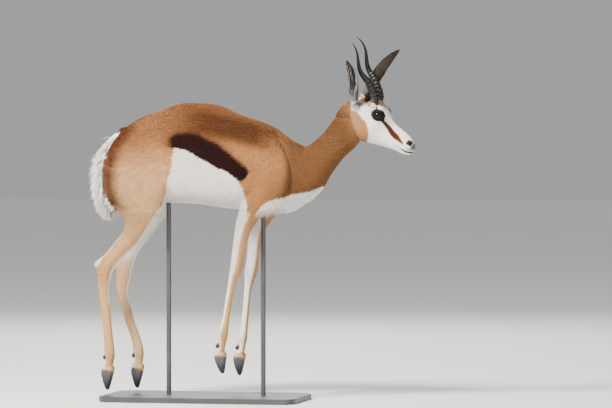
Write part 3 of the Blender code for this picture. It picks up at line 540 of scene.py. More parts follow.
def closed_loft(rings):
    """Points and triangles of a closed skin over rings, with a fan to the middle of each
    end, turned so that its volume is positive."""
    points = np.vstack([rings.reshape(-1, 3), rings[0].mean(0), rings[-1].mean(0)])
    triangles = tube_triangles(*rings.shape[:2])
    a, b, c = (points[triangles[:, i]] for i in range(3))
    if (a * np.cross(b, c)).sum() < 0:
        triangles = triangles[:, ::-1]
    return points, triangles


def run_together(shapes):
    """Several points-and-triangles shapes as one."""
    points, triangles, start = [], [], 0
    for some, faces in shapes:
        points.append(some)
        triangles.append(faces + start)
        start += len(some)
    return np.vstack(points), np.vstack(triangles)


def head_axes():
    """The head's s, w and t axes as three unit vectors."""
    cos_p, sin_p = math.cos(HEAD_PITCH), math.sin(HEAD_PITCH)
    cos_r, sin_r = math.cos(HEAD_ROLL), math.sin(HEAD_ROLL)
    ahead = np.array((cos_p, 0.0, -sin_p))
    upright = np.array((sin_p, 0.0, cos_p))
    left = np.array((0.0, 1.0, 0.0))
    return ahead, left * cos_r + upright * sin_r, upright * cos_r - left * sin_r


HEAD_ORIGIN = np.array(POLL) + (0.0, 0.0, HOOF_HEIGHT)


def from_head(points):
    """Points s, w, t of the head's frame in the model's frame."""
    ahead, left, crown = head_axes()
    points = np.asarray(points, float)
    return HEAD_ORIGIN + points[..., 0:1] * ahead + points[..., 1:2] * left + points[..., 2:3] * crown


def to_head(points):
    """Points of the model's frame as s, w, t of the head's frame."""
    return (points - HEAD_ORIGIN) @ np.stack(head_axes(), axis=1)


def swelling(points, place, radius, height):
    """How far a round swelling (a Gaussian of that radius) at a place, and at its mirror
    image across the head, lifts each point."""
    lift = 0.0
    for side in (-1.0, 1.0):
        away = np.linalg.norm((points - np.array(place) * (1.0, side, 1.0)) / radius, axis=-1)
        lift = lift + height * np.exp(-(away**2))
    return lift


def head_rings(count, sides):
    """Rounded sections carried along the head, with brows, cheeks, lips and the hollows of
    the face raised or sunk as Gaussian swellings."""
    s, top, bottom, half_width, wider = through(HEAD, count).T
    top, bottom = top - HEAD_COAT_DEPTH, bottom + HEAD_COAT_DEPTH
    half_width = half_width - HEAD_COAT_DEPTH
    turn = np.linspace(0, 2 * math.pi, sides, endpoint=False)
    across, rise = np.cos(turn), np.sin(turn)
    middle, half = (top + bottom) / 2, (top - bottom) / 2
    width = half_width[:, None] * (1 + wider[:, None] * rise)
    w = width * np.sign(across) * np.abs(across) ** 0.9
    t = middle[:, None] + half[:, None] * rise
    points = np.stack([np.broadcast_to(s[:, None], w.shape), w, t], axis=-1)
    out = np.stack([np.zeros_like(w), np.broadcast_to(across, w.shape), np.broadcast_to(rise, w.shape)], -1)
    lift = 0.0
    for place, radius, height in SWELLINGS:
        lift = lift + swelling(points, place, radius, height)
    return points + out * lift[..., None]


def heel_rows(path, side):
    """The point of the hock: from inside the joint up and back to the heel bone's end."""
    x, y, height = path[HOCK]
    rows = (
        (x + 0.010, y, height + 0.012, 0.014, 0.014),
        (x - 0.014, y, height + 0.006, 0.014, 0.016),
        (x - 0.034, y, height - 0.004, 0.0125, 0.0135),
        (x - 0.046, y, height - 0.012, 0.0080, 0.0080),
    )
    return sided(rows, side)


LEGS = {
    "fore_right": sided(np.hstack([RIGHT_FORE, FORE_SIZES]), -1),
    "fore_left": sided(np.hstack([LEFT_FORE, FORE_SIZES]), 1),
    "hind_right": sided(np.hstack([RIGHT_HIND, HIND_SIZES]), -1),
    "hind_left": sided(np.hstack([LEFT_HIND, HIND_SIZES]), 1),
}

x, back, belly, half_width = through(TRUNK, 90).T
TRUNK_ROWS = np.stack([x, 0 * x, (back + belly) / 2, half_width, (back - belly) / 2], axis=1)
forms = [
    closed_loft(tube(TRUNK_ROWS, 90, 72, level=True, power=2.25, wider_above=-0.12)),
    closed_loft(tube(NECK, 60, 56)),
    closed_loft(from_head(head_rings(90, 72))),
    closed_loft(tube(RUMP, 40, 48)),
    closed_loft(tube(TAIL, 50, 24)),
]
for word, rows in LEGS.items():
    forms.append(closed_loft(tube(rows, 170, 44)))
for path, side in ((RIGHT_HIND, -1), (LEFT_HIND, 1)):
    forms.append(closed_loft(tube(heel_rows(path, side), 18, 24)))

# The head gets finer steps than the body: before the forms are run together, space is
# stretched about the head's middle, and drawn back afterwards.
FINE_MIDDLE = from_head((0.10, 0.0, -0.01))
FINE_RADIUS = 0.16
FINE_TIMES = 2.4
STEP = 0.0061


def stretched(points, times):
    """Distances r from the head's middle become times*r near it and r + (times-1)*R past
    the radius R."""
    away = points - FINE_MIDDLE
    distance = np.linalg.norm(away, axis=1, keepdims=True)
    grown = distance + (times - 1) * np.minimum(distance, FINE_RADIUS)
    return FINE_MIDDLE + away * (grown / np.maximum(distance, 1e-9))


def drawn_back(points, times):
    """The inverse of stretched."""
    away = points - FINE_MIDDLE
    distance = np.linalg.norm(away, axis=1, keepdims=True)
    shrunk = np.where(distance < times * FINE_RADIUS, distance / times, distance - (times - 1) * FINE_RADIUS)
    return FINE_MIDDLE + away * (shrunk / np.maximum(distance, 1e-9))


def applied(obj):
    """Applies the object's modifiers."""
    graph = bpy.context.evaluated_depsgraph_get()
    graph.update()
    mesh = bpy.data.meshes.new_from_object(obj.evaluated_get(graph), depsgraph=graph)
    old = obj.data
    obj.modifiers.clear()
    obj.data = mesh
    mesh.name = obj.name
    bpy.data.meshes.remove(old)


def places(mesh):
    """The mesh's points as an array."""
    points = np.empty(len(mesh.vertices) * 3, np.float32)
    mesh.vertices.foreach_get("co", points)
    return points.reshape(-1, 3).astype(float)


def relaxed(mesh, rounds):
    """Evens out the surface without thinning it: each round moves every vertex 0.5 of the
    way to the mean of its neighbours, and then 0.52 of the way back."""
    points = places(mesh)
    edges = np.empty(len(mesh.edges) * 2, np.int32)
    mesh.edges.foreach_get("vertices", edges)
    one, two = edges.reshape(-1, 2).T
    degree = np.bincount(edges, minlength=len(points))[:, None]
    for step in (0.5, -0.52) * rounds:
        total = np.zeros_like(points)
        for axis in range(3):
            total[:, axis] = np.bincount(one, points[two, axis], len(points))
            total[:, axis] += np.bincount(two, points[one, axis], len(points))
        points = points + step * (total / np.maximum(degree, 1) - points)
    mesh.vertices.foreach_set("co", points.astype(np.float32).ravel())
    mesh.update()


points, triangles = run_together(forms)
skin = surface("skin", stretched(points, FINE_TIMES), triangles)
remesh = skin.modifiers.new("run_together", "REMESH")
remesh.mode = "VOXEL"
remesh.voxel_size = STEP
applied(skin)
relaxed(skin.data, 14)
back_in_place = drawn_back(places(skin.data), FINE_TIMES)
skin.data.vertices.foreach_set("co", back_in_place.astype(np.float32).ravel())
skin.data.update()


# Ears, eyelids, nostrils and mouth, joined to the skin or sunk in it: each ear is a leaf of
# skin rolled almost shut at its root, and each pair of lids a thin dome over the eyeball
# with an almond opening. They are made one closed surface with the skin.
def ear_frame(side, word):
    """An ear's root and length, and its axes in the head's frame: up the leaf, the way
    that the hollow faces, and across."""
    root, tip = np.array(EAR_ROOT) * (1, side, 1), np.array(EAR_TIP[word])
    length = np.linalg.norm(tip - root)
    along = (tip - root) / length
    facing = np.array(EAR_FACING[word])
    facing = unit(facing - along * np.dot(facing, along))
    return root, length, along, facing, np.cross(along, facing)


def ear_leaf(level):
    """The leaf's half width as a share of its widest, and the angle to which it is open."""
    leaf_levels = (0, 0.12, 0.3, 0.5, 0.7, 0.86, 0.95, 1)
    leaf = np.interp(level, leaf_levels, (0.52, 0.60, 0.84, 1.0, 0.92, 0.62, 0.30, 0.05))
    return leaf, np.interp(level, (0, 0.15, 0.35, 0.6, 1), (2.55, 2.25, 1.60, 1.15, 0.85))


def ear_sheet(side, word):
    """Rings round the ear's leaf, out along its back and home along its hollow: the leaf
    is an arc whose radius is its half width over the sine of its opening angle."""
    root, length, along, facing, beside = ear_frame(side, word)
    u = (0.5 - 0.5 * np.cos(math.pi * np.linspace(0, 1, EAR_ROWS)))[:, None]
    leaf, opening = ear_leaf(u)
    leaf = (EAR_HALF_WIDTH[word] - 0.0010) * leaf
    radius = leaf / np.sin(np.minimum(opening, math.pi / 2))
    solid_root = np.clip(1 - u / 0.22, 0, 1) ** 0.7
    wall = np.minimum(EAR_WALL + (0.85 * radius - EAR_WALL) * solid_root, 0.85 * radius)
    v = np.linspace(-1, 1, EAR_COLUMNS)[None, :]
    turn = np.concatenate([v * opening, (v * (opening - 0.05))[:, ::-1]], axis=1)
    reach = np.concatenate([radius + 0 * v, radius - wall + 0 * v], axis=1)
    sideways = reach * np.sin(turn)
    ahead = radius - reach * np.cos(turn)
    bow = 0.035 * length * np.sin(math.pi * u)
    points = root + along * (u * length)[..., None] + beside * sideways[..., None]
    return from_head(points + facing * (ahead - leaf * 0.9 - bow)[..., None])


def round_ball(middle, radii, axes, rows, columns):
    """A ball with three radii along three axes: sines and cosines of two angles."""
    tilt = np.linspace(0.04, math.pi - 0.04, rows)[:, None]
    turn = np.linspace(0, 2 * math.pi, columns, endpoint=False)[None, :]
    flat = np.sin(tilt)
    local = np.stack([flat * np.cos(turn), flat * np.sin(turn), np.cos(tilt) + 0 * turn], -1)
    return closed_loft(np.array(middle) + (local * radii) @ np.array(axes))


def eye_axes(side):
    """Three unit vectors of an eye: along its opening, out of the head, and across."""
    ahead, left, crown = head_axes()
    out = unit(0.20 * ahead + 0.95 * side * left + 0.16 * crown)
    along = 0.95 * ahead - 0.30 * crown
    along = unit(along - out * np.dot(out, along))
    return along, out, np.cross(along, out)


def lid_opening(middle, side):
    """An almond prism, a superellipse of power 1.7, that widens as it leaves the eyeball."""
    along, out, over = eye_axes(side)
    across, rise = oval(40, 1.7)
    half_length, half_height = LID_OPENING
    section = half_length * across[:, None] * along + half_height * rise[:, None] * over
    near, far = middle + out * 0.004 + section * 0.9, middle + out * 0.030 + section * 1.15
    return closed_loft(np.array([near, far]))


def met_from_outside(obj, middle, ways):
    """Where the object's surface is first met from outside along each way to a middle."""
    met = []
    for way in ways:
        way = Vector(way).normalized()
        hit, place, _, _ = obj.ray_cast(Vector(middle) + way * 0.2, -way)
        met.append(place if hit else Vector(middle))
    return np.array(met)


def nostril_pit(side):
    """A slanting flat ellipsoid sunk beside the tip of the nose."""
    ahead, left, crown = head_axes()
    s, t = NOSTRIL
    place = met_from_outside(skin, from_head((s, 0.0, t)), [side * left + 0.25 * ahead])[0]
    out = unit(side * left + 0.45 * ahead)
    slope = 0.80 * ahead - 0.60 * crown
    slope = unit(slope - out * np.dot(out, slope))
    return round_ball(place, NOSTRIL_RADII, (slope, out, np.cross(slope, out)), 16, 24)


def mouth_line():
    """A thin tube laid round the muzzle from one corner of the mouth to the other."""
    ahead, left, _ = head_axes()
    s, t = MOUTH_MIDDLE
    turn = np.linspace(-math.pi / 2, math.pi / 2, 48)
    middles = from_head([(s, 0.0, t - MOUTH_DROP * math.cos(a) ** 0.8) for a in turn])
    ways = np.cos(turn)[:, None] * ahead + np.sin(turn)[:, None] * left
    path = np.vstack([met_from_outside(skin, m, [w]) for m, w in zip(middles, ways)])
    along = unit(np.gradient(path, axis=0))
    out = unit(ways - along * (ways * along).sum(1, keepdims=True))
    up = np.cross(along, out)
    radius = MOUTH_RADIUS * (0.5 + 0.5 * np.cos(turn) ** 0.5)[:, None, None]
    spin = np.linspace(0, 2 * math.pi, 10, endpoint=False)[None, :, None]
    ring = np.cos(spin) * out[:, None, :] + np.sin(spin) * up[:, None, :]
    return closed_loft(path[:, None, :] + radius * ring)


def carved(obj, shape, operation):
    """Joins a closed shape to the object or cuts it away."""
    tool = surface("tool", *shape)
    change = obj.modifiers.new("change", "BOOLEAN")
    change.operation = operation
    change.object = tool
    change.solver = "MANIFOLD"
    applied(obj)
    bpy.data.objects.remove(tool, do_unlink=True)


EYES = {word: from_head(np.array(EYE_PLACE) * (1, side, 1)) for side, word in SIDES}
mouth = mouth_line()
pits = [nostril_pit(-1), nostril_pit(1)]
for side, word in SIDES:
    middle, axes = EYES[word], head_axes()
    carved(skin, round_ball(middle, (EYE_RADIUS + LID_THICKNESS,) * 3, axes, 40, 60), "UNION")
    carved(skin, lid_opening(middle, side), "DIFFERENCE")
    carved(skin, round_ball(middle, (EYE_RADIUS + 0.0002,) * 3, axes, 40, 60), "DIFFERENCE")
    carved(skin, closed_loft(ear_sheet(side, word)), "UNION")
for shape in pits + [mouth]:
    carved(skin, shape, "DIFFERENCE")
skin.data.shade_smooth()

# The faces left by the joins are all made triangles.
tidy = bmesh.new()
tidy.from_mesh(skin.data)
bmesh.ops.triangulate(tidy, faces=tidy.faces)
tidy.to_mesh(skin.data)
tidy.free()
SKIN_POINTS = places(skin.data)

FLESH = ("torso", "neck", "head", "tail", "rump", "ear_right", "ear_left",
         "leg_fore_right", "leg_fore_left", "leg_hind_right", "leg_hind_left")
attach(skin, "root")
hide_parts(*FLESH)


# Eyes: two glass-like balls with a low cornea, near black, with a dark brown iris round a
# pupil that lies level, set in the sockets under the lids.
def stored_value(made, name, values, ends):
    """Stores one number for each point of a closed loft: its rings' and its two ends'."""
    store = made.data.attributes.new(name, "FLOAT", "POINT")
    store.data.foreach_set("value", np.append(values, ends).astype(np.float32))


def coloured_by(paint, name, stops):
    """Base colour from a stored number, through a ramp of positions and colours."""
    value = node(paint, "ShaderNodeAttribute", attribute_name=name)
    wire(paint, value, "Fac", ramp_of(paint, stops), "Fac")


def eyeball(word, side):
    """A ball whose radius swells over the cornea by a Gaussian of the angle from the
    front; the iris value is an oval distance from the front, wider along the lids."""
    along, out, over = eye_axes(side)
    tilt = np.linspace(0.02, math.pi - 0.02, 56)[:, None]
    turn = np.linspace(0, 2 * math.pi, 72, endpoint=False)[None, :]
    radius = EYE_RADIUS * (0.985 + 0.035 * np.exp(-((tilt / 0.62) ** 2)))
    a, b = np.sin(tilt) * np.cos(turn), np.sin(tilt) * np.sin(turn)
    local = np.stack([a, np.cos(tilt) + 0 * turn, b], axis=-1)
    ball = EYES[word] + (local * radius[..., None]) @ np.stack([along, out, over])
    made = surface("eyeball_" + word, *closed_loft(ball))
    oval_distance = np.sqrt((a / 1.25) ** 2 + (b / 0.95) ** 2) + 2.0 * (np.cos(tilt) < 0)
    stored_value(made, "iris", oval_distance, (0.0, 2.0))
    return made


wet_eye = new_material("wet_dark_eye", (0.012, 0.006, 0.004), 0.08, 0.10)
shader_of(wet_eye).inputs["Coat Weight"].default_value = 0.12
shader_of(wet_eye).inputs["Coat Roughness"].default_value = 0.02
coloured_by(wet_eye, "iris", (
    (0.00, (0.002, 0.002, 0.003)),
    (0.30, (0.002, 0.002, 0.003)),
    (0.36, (0.016, 0.006, 0.003)),
    (0.62, (0.009, 0.004, 0.002)),
    (0.72, (0.003, 0.002, 0.002)),
))
for side, word in SIDES:
    eye = eyeball(word, side)
    eye.data.materials.append(wet_eye)
    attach(eye, "root")
    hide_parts("eye_" + word)


# Horns: slender, lyre-shaped, of black horn with raised rings over the lower half and a
# smooth sharp tip; they stand on the forehead over the eyes.
HORN = (
    (0.0650, 0.0265, 0.0440),
    (0.0560, 0.0280, 0.0690),
    (0.0345, 0.0308, 0.0895),
    (0.0100, 0.0350, 0.1055),
    (-0.0155, 0.0400, 0.1150),
    (-0.0345, 0.0430, 0.1275),
    (-0.0515, 0.0455, 0.1485),
    (-0.0690, 0.0455, 0.1690),
    (-0.0925, 0.0430, 0.1835),
    (-0.1135, 0.0400, 0.1870),
)
HORN_SHARE = {"left": 1.0, "right": 0.93}
HORN_BASE_RADIUS = 0.0145
HORN_RINGS = 11
HORN_RINGED_SHARE = 0.50
HORN_STEPS = 900
HORN_FOOT_STEP = 20


def relaxed_path(path):
    """A path with its small corners rounded: each inner point goes halfway to the middle
    of its neighbours, 60 times."""
    for _ in range(60):
        path[1:-1] = 0.5 * path[1:-1] + 0.25 * (path[:-2] + path[2:])
    return path


def horn(side, word):
    """An oval section carried along the horn's curve; its radius falls to the tip as
    (1 - u)^0.9, and a rounded ridge for each ring, |cos|^2.2 of the way along, is added."""
    count, sides = 420, 40
    path = through(HORN, HORN_STEPS)
    path = path[np.linspace(0, (HORN_STEPS - 1) * HORN_SHARE[word], count).astype(int)]
    path = from_head(relaxed_path(path * (1, side, 1)))
    u = np.linspace(0, 1, count)
    radius = HORN_BASE_RADIUS * (1 - u) ** 0.9 * (1 - 0.2 * u) + 0.0006
    place = u / HORN_RINGED_SHARE * HORN_RINGS
    ridge = np.abs(np.cos(math.pi * (place + 0.12 * np.sin(2.3 * place)))) ** 2.2
    root_shade = np.clip((HORN_RINGED_SHARE - u) * 9, 0, 1)
    turn = np.linspace(0, 2 * math.pi, sides, endpoint=False)
    uneven = 1 + 0.15 * np.cos(turn[None, :] * 3 + place[:, None])
    grain = 0.010 * np.cos(turn * 9)[None, :] * (1 - u)[:, None]
    lift = 0.115 * (ridge * root_shade)[:, None] * uneven + grain
    size = radius[:, None] * (0.97 + lift)
    along = unit(np.gradient(path, axis=0))
    across = unit(np.cross(along, head_axes()[1] * side))
    over = np.cross(across, along)
    rings = path[:, None, :] + (1.12 * size * np.cos(turn))[..., None] * across[:, None, :]
    rings = rings + (0.92 * size * np.sin(turn))[..., None] * over[:, None, :]
    made = surface("horn_sheath_" + word, *closed_loft(rings))
    stored_value(made, "crest", np.repeat(ridge * root_shade, sides), (0.0, 0.0))
    return made


horn_black = new_material("ringed_black_horn", (0.02, 0.018, 0.017), 0.34, 0.28)
# The ring crests are painted lighter than the grooves between them: a painted highlight on each crest.
coloured_by(horn_black, "crest", ((0.0, (0.003, 0.0025, 0.0025)), (1.0, (0.020, 0.016, 0.014))))
rippled(horn_black, 700.0, 0.0006, 2.0, (1.0, 1.0, 0.25))
for side, word in SIDES:
    piece = horn(side, word)
    piece.data.materials.append(horn_black)
    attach(piece, "root")
    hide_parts("horn_" + word)


# Hooves and dewclaws: each foot ends in two narrow pointed claws of slate-black horn with
# faint growth lines, and carries two small dewclaws behind the fetlock.
HOOVES = {
    "fore_right": ((0.0635, 0.057), 0.0185),
    "fore_left": ((0.0945, 0.046), 0.0185),
    "hind_right": ((-0.3285, 0.000), 0.0195),
    "hind_left": ((-0.2560, 0.000), 0.0195),
}
CLAW_OFFSET = 0.0085
CLAW_HALF_WIDTH = 0.0078
DEWCLAW_BACK = 0.0120
LEG_PATHS = {
    "fore_right": (RIGHT_FORE, -1),
    "fore_left": (LEFT_FORE, 1),
    "hind_right": (RIGHT_HIND, -1),
    "hind_left": (LEFT_HIND, 1),
}


def foot_ends(word):
    """Where the claws of a foot begin, midway between the last two rows of its path, and
    where their tips are, both midway between the inner and the outer claw."""
    (tip_x, tip_height), _ = HOOVES[word]
    path, side = LEG_PATHS[word]
    (above_x, _, above), (x, y, height) = path[-2:]
    top = np.array(((x + above_x) / 2, y * side, (height + above) / 2 + HOOF_HEIGHT))
    return top, np.array((tip_x, y * side, tip_height + HOOF_HEIGHT))


def claw(name, top, tip, depth, side_shift):
    """Squared ovals carried from the coronet to the toe: the half depth swells and then
    narrows along it, with small growth waves, and the front wall stays straight."""
    u = np.linspace(0, 1, 64)
    along = unit(tip - top)
    front = np.array((-along[2], 0.0, along[0]))
    growth = 1 + 0.010 * np.sin(u * 85) * (u > 0.1) * (1 - u)
    levels = (0, 0.12, 0.25, 0.40, 0.55, 0.70, 0.85, 0.95, 1)
    profile = np.interp(u, levels, (0.80, 0.93, 0.98, 0.90, 0.74, 0.58, 0.40, 0.24, 0.08))
    half_depth = depth * growth * profile
    profile = np.interp(u, (0, 0.3, 0.5, 0.7, 0.9, 1), (0.88, 0.98, 0.93, 0.80, 0.50, 0.20))
    half_width = CLAW_HALF_WIDTH * growth * profile
    path = top + (tip - top) * u[:, None] + front * ((depth * 0.95 - half_depth) * 0.55)[:, None]
    across, rise = oval(40, 2.5)
    rings = path[:, None, :] + np.array((0.0, 1.0, 0.0)) * (half_width[:, None] * across)[..., None]
    rings = rings + front * (half_depth[:, None] * rise)[..., None]
    rings[..., 1] += side_shift
    made = surface(name, *closed_loft(rings))
    stored_value(made, "toward_toe", np.repeat(u, 40), (0.0, 1.0))
    return made


def dewclaw(name, middle):
    """A small blunt drop: a circle whose radius follows a sine down to its rounded tip."""
    u = np.linspace(0, 1, 24)
    radius = np.sin(math.pi * np.clip(u, 0.02, 0.98)) ** 0.55
    turn = np.linspace(0, 2 * math.pi, 24, endpoint=False)
    path = np.array(middle) + np.stack([-0.004 * u, 0 * u, 0.0088 - 0.0180 * u], axis=1)
    ring = np.stack([0.0068 * np.cos(turn), 0.0050 * np.sin(turn), 0 * turn], -1)
    made = surface(name, *closed_loft(path[:, None, :] + radius[:, None, None] * ring))
    stored_value(made, "toward_toe", np.repeat(u, 24), (0.0, 1.0))
    return made


# The claws and dewclaws are paler at the top and darker towards the tip.
hoof_horn = new_material("slate_hoof", (0.03, 0.03, 0.034), 0.44, 0.35)
coloured_by(hoof_horn, "toward_toe", (
    (0.00, (0.085, 0.082, 0.082)),
    (0.35, (0.055, 0.056, 0.064)),
    (0.70, (0.018, 0.019, 0.024)),
    (1.00, (0.008, 0.008, 0.009)),
))
rippled(hoof_horn, 520.0, 0.0004, 3.0, (1.0, 1.0, 0.3))
for word, (path, side) in LEG_PATHS.items():
    top, tip = foot_ends(word)
    x, y, height = path[-3]
    for which, shift in (("inner", -side), ("outer", side)):
        piece = claw(f"claw_{word}_{which}", top, tip, HOOVES[word][1], shift * CLAW_OFFSET)
        behind = (x - DEWCLAW_BACK, y * side + shift * CLAW_OFFSET, height - 0.006 + HOOF_HEIGHT)
        small = dewclaw(f"spur_{word}_{which}", behind)
        for made, solid in ((piece, "hoof"), (small, "dewclaw")):
            made.data.materials.append(hoof_horn)
            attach(made, "root")
            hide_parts(f"{solid}_{word}_{which}")


# Markings: a fawn back, a near-black flank stripe over a white belly, a white rump edged
# with red-brown, white-backed forelegs and a white face with a brown stripe. One function
# of place gives them, so that the skin and every hair on it agree.
TAN = (0.60, 0.365, 0.175)
FAWN = (0.42, 0.190, 0.072)
BACK = (0.170, 0.068, 0.0235)
DARK_BACK = (0.060, 0.0185, 0.0055)
NECK_BROWN = (0.166, 0.073, 0.027)
STRIPE_BROWN = (0.0135, 0.0012, 0.0003)
RUMP_BROWN = (0.078, 0.0190, 0.0055)
WHITE = (0.80, 0.765, 0.705)
SNOW = (0.86, 0.84, 0.80)
FACE_BROWN = (0.07, 0.016, 0.005)
POLL_ORANGE = (0.50, 0.27, 0.105)
EAR_GREY = (0.025, 0.019, 0.0145)
BLACK = (0.012, 0.010, 0.010)

# Edges on the flank: q, which is x less the slant's share of the distance from the middle
# plane, and h, the height over the hooves; the slant is that of the photo's 12 degrees
FLANK_SLANT = 0.2126
STRIPE_TOP = (
    (-0.1300, 0.8240), (-0.1173, 0.8328), (-0.0838, 0.8459), (-0.0503, 0.8482), (-0.0168, 0.8443),
    (0.0168, 0.8262), (0.0503, 0.8115), (0.0838, 0.7852), (0.1173, 0.7574), (0.1475, 0.7344),
    (0.1520, 0.7240),
)
STRIPE_FOOT = (
    (-0.1200, 0.8030), (-0.1073, 0.8000), (-0.0905, 0.7984), (-0.0503, 0.7885), (-0.0168, 0.7672),
    (0.0168, 0.7508), (0.0503, 0.7311), (0.0838, 0.7180), (0.1173, 0.6918), (0.1274, 0.6934),
    (0.1408, 0.7049), (0.1520, 0.7240),
)
CHEST_TOP = (
    (0.1550, 0.5000), (0.1740, 0.5836), (0.1910, 0.6130), (0.2112, 0.6260), (0.2347, 0.6340),
    (0.2780, 0.6426), (0.2950, 0.6490), (0.3520, 0.6590), (0.3750, 0.6656), (0.3900, 0.6750),
)
# Edges that run down: h and q
PATCH_REAR = (
    (0.3590, -0.3147), (0.3800, -0.3080), (0.4060, -0.2927), (0.4577, -0.2577), (0.4876, -0.2270),
    (0.5115, -0.2130), (0.5311, -0.2011), (0.5574, -0.1844), (0.5967, -0.1576), (0.6131, -0.1441),
    (0.6393, -0.1341), (0.6656, -0.1274), (0.6918, -0.1207), (0.7180, -0.1110), (0.7410, -0.1039),
    (0.7672, -0.1039), (0.7902, -0.0972),
)
PATCH_FRONT = (
    (0.5541, 0.1341), (0.5934, 0.1441), (0.6164, 0.1441), (0.6426, 0.1391), (0.6754, 0.1274),
    (0.6918, 0.1173),
)
RUMP_EDGE = (
    (0.5500, -0.3150), (0.6000, -0.3080), (0.6066, -0.3118), (0.6164, -0.3218), (0.6328, -0.3319),
    (0.6525, -0.3419), (0.6918, -0.3486), (0.7377, -0.3453), (0.7738, -0.3352), (0.8000, -0.3252),
    (0.8164, -0.3118), (0.8490, -0.2850),
)
# Edges on the head: s and t
CHEEK_TOP = (
    (-0.0200, 0.0300), (0.0000, 0.0160), (0.0187, -0.0025), (0.0393, 0.0036), (0.0594, -0.0027),
    (0.0777, -0.0061), (0.0939, -0.0191), (0.1061, -0.0389), (0.1092, -0.0570), (0.1110, -0.0800),
    (0.1130, -0.2000),
)
THROAT_TOP = (
    (-0.0300, 0.0700), (0.0008, 0.0134), (0.0162, -0.0083), (0.0380, -0.0336), (0.0583, -0.0599),
    (0.0801, -0.0690), (0.1000, -0.0760), (0.1200, -0.2000),
)
FACE_STRIPE_TOP = (
    (0.1130, 0.0360), (0.1248, 0.0282), (0.1495, 0.0211), (0.1696, 0.0148), (0.1880, 0.0114),
    (0.2161, -0.0014),
)
FACE_STRIPE_FOOT = (
    (0.1130, 0.0240), (0.1273, 0.0180), (0.1463, 0.0080), (0.1653, -0.0022), (0.1836, -0.0058),
    (0.2151, -0.0060),
)
MOUTH_EDGE = ((0.2000, -0.0180), (0.2036, -0.0187), (0.2188, -0.0208), (0.2345, -0.0210), (0.2522, -0.0165))


def edge(rows, value):
    """A drawn edge's second number at each value of its first, straight between rows."""
    return np.interp(value, *np.array(rows).T)


def mixed(colour, other, share):
    """The colour moved towards the other by the share."""
    return colour + (np.asarray(other) - colour) * share[:, None]


def within(value, low, high, soft):
    """1 between low and high, fading to 0 over the soft width at each end."""
    return smooth_step(low - soft, low + soft, value) * smooth_step(high + soft, high - soft, value)


LEG_WORDS = list(LEGS)
LEG_STEPS = 150
LEG_SAMPLES = np.stack([through(LEGS[word], LEG_STEPS) for word in LEG_WORDS])
LEG_MIDDLES = LEG_SAMPLES[:, :, :3] + (0.0, 0.0, HOOF_HEIGHT)
LEG_ALONG = unit(np.gradient(LEG_MIDDLES, axis=1))
LEG_AHEAD = unit(np.cross(LEG_ALONG, (0.0, 1.0, 0.0)))
LEG_SIDE = np.cross(LEG_AHEAD, LEG_ALONG)


def leg_place(points):
    """The nearest sample of any leg's path, and there: the leg's number, how far down it
    is, half sizes ahead and out from its middle, and the distance over its size."""
    middles, sizes = LEG_MIDDLES.reshape(-1, 3), LEG_SAMPLES[:, :, 3:5].max(2).ravel()
    best = np.empty(len(points), int)
    for start in range(0, len(points), 20000):
        some = points[start:start + 20000]
        square = (some**2).sum(1)[:, None] - 2 * some @ middles.T + (middles**2).sum(1)
        best[start:start + 20000] = np.argmin(square / sizes**2, axis=1)
    leg, step = np.divmod(best, LEG_STEPS)
    away = points - LEG_MIDDLES[leg, step]
    side = np.where(np.array([word.endswith("left") for word in LEG_WORDS])[leg], 1.0, -1.0)
    half_width, half_depth = LEG_SAMPLES[leg, step, 3], LEG_SAMPLES[leg, step, 4]
    ahead = (away * LEG_AHEAD[leg, step]).sum(1) / half_depth
    out = (away * LEG_SIDE[leg, step]).sum(1) * side / half_width
    return leg, step, ahead, out, np.hypot(ahead, out)


def ear_place(points, normals, side, word):
    """How far up an ear's leaf each point is, how far round it from -1 to 1, and whether
    it lies in the hollow; points off the ear are at -1."""
    root, length, along, facing, beside = ear_frame(side, word)
    away = to_head(points) - root
    u = away @ along / length
    level = np.clip(u, 0, 1)
    leaf, opening = ear_leaf(level)
    leaf = EAR_HALF_WIDTH[word] * leaf
    radius = leaf / np.sin(np.minimum(opening, math.pi / 2))
    bow = 0.035 * length * np.sin(math.pi * level)
    sideways = away @ beside
    ahead = away @ facing - radius + leaf * 0.9 + bow
    distance = np.hypot(sideways, ahead)
    turn = np.arctan2(sideways, -ahead)
    radial = (sideways[:, None] * beside + ahead[:, None] * facing) / np.maximum(distance, 1e-9)[:, None]
    in_head = normals @ np.stack(head_axes(), axis=1)
    on = (u > 0.02) & (u < 1.03) & (np.abs(distance - radius) < 0.006) & (np.abs(turn) < opening + 0.5)
    hollow = on & ((in_head * radial).sum(1) < 0)
    return np.where(on, u, -1.0), turn / opening, hollow


def survey(points, normals):
    """Where each point lies on the animal: the values that the markings and the lie and
    length of the hair are worked out from."""
    leg, step, ahead, out, near = leg_place(points)
    s, w, t = to_head(points).T
    h = points[:, 2] - HOOF_HEIGHT
    q = points[:, 0] - FLANK_SLANT * np.abs(points[:, 1])
    on_head = q > 0.476 + (0.941 - h) * 0.32
    ear = np.full(len(points), -1.0)
    round_ear, hollow, left_ear = np.zeros(len(points)), *np.zeros((2, len(points)), bool)
    for side, word in SIDES:
        u, v, inside = ear_place(points, normals, side, word)
        on = u > 0
        ear = np.where(on, u, ear)
        round_ear = np.where(on, v, round_ear)
        hollow = hollow | inside
        left_ear = left_ear | (on & (side > 0))
    on_leg = (h < np.where(leg < 2, 0.600, 0.590)) & (near < 1.6) & (ear < 0) & ~on_head
    on_leg = on_leg & ~((q < -0.318) & (h > 0.50))
    rump = (q < edge(RUMP_EDGE, h) + 0.002) & (h > 0.55) & (h < 0.90) & ~on_leg
    neck = (q > 0.275) & (h > 0.60) & ~on_head & (ear < 0)
    return dict(
        points=points, normals=normals, h=h, q=q, y=points[:, 1], s=s, w=w, t=t, leg=leg, step=step,
        ahead=ahead, out=out, on_leg=on_leg, on_head=on_head & (ear < 0), ear=ear, round_ear=round_ear,
        hollow=hollow, left_ear=left_ear, rump=rump, neck=neck,
    )


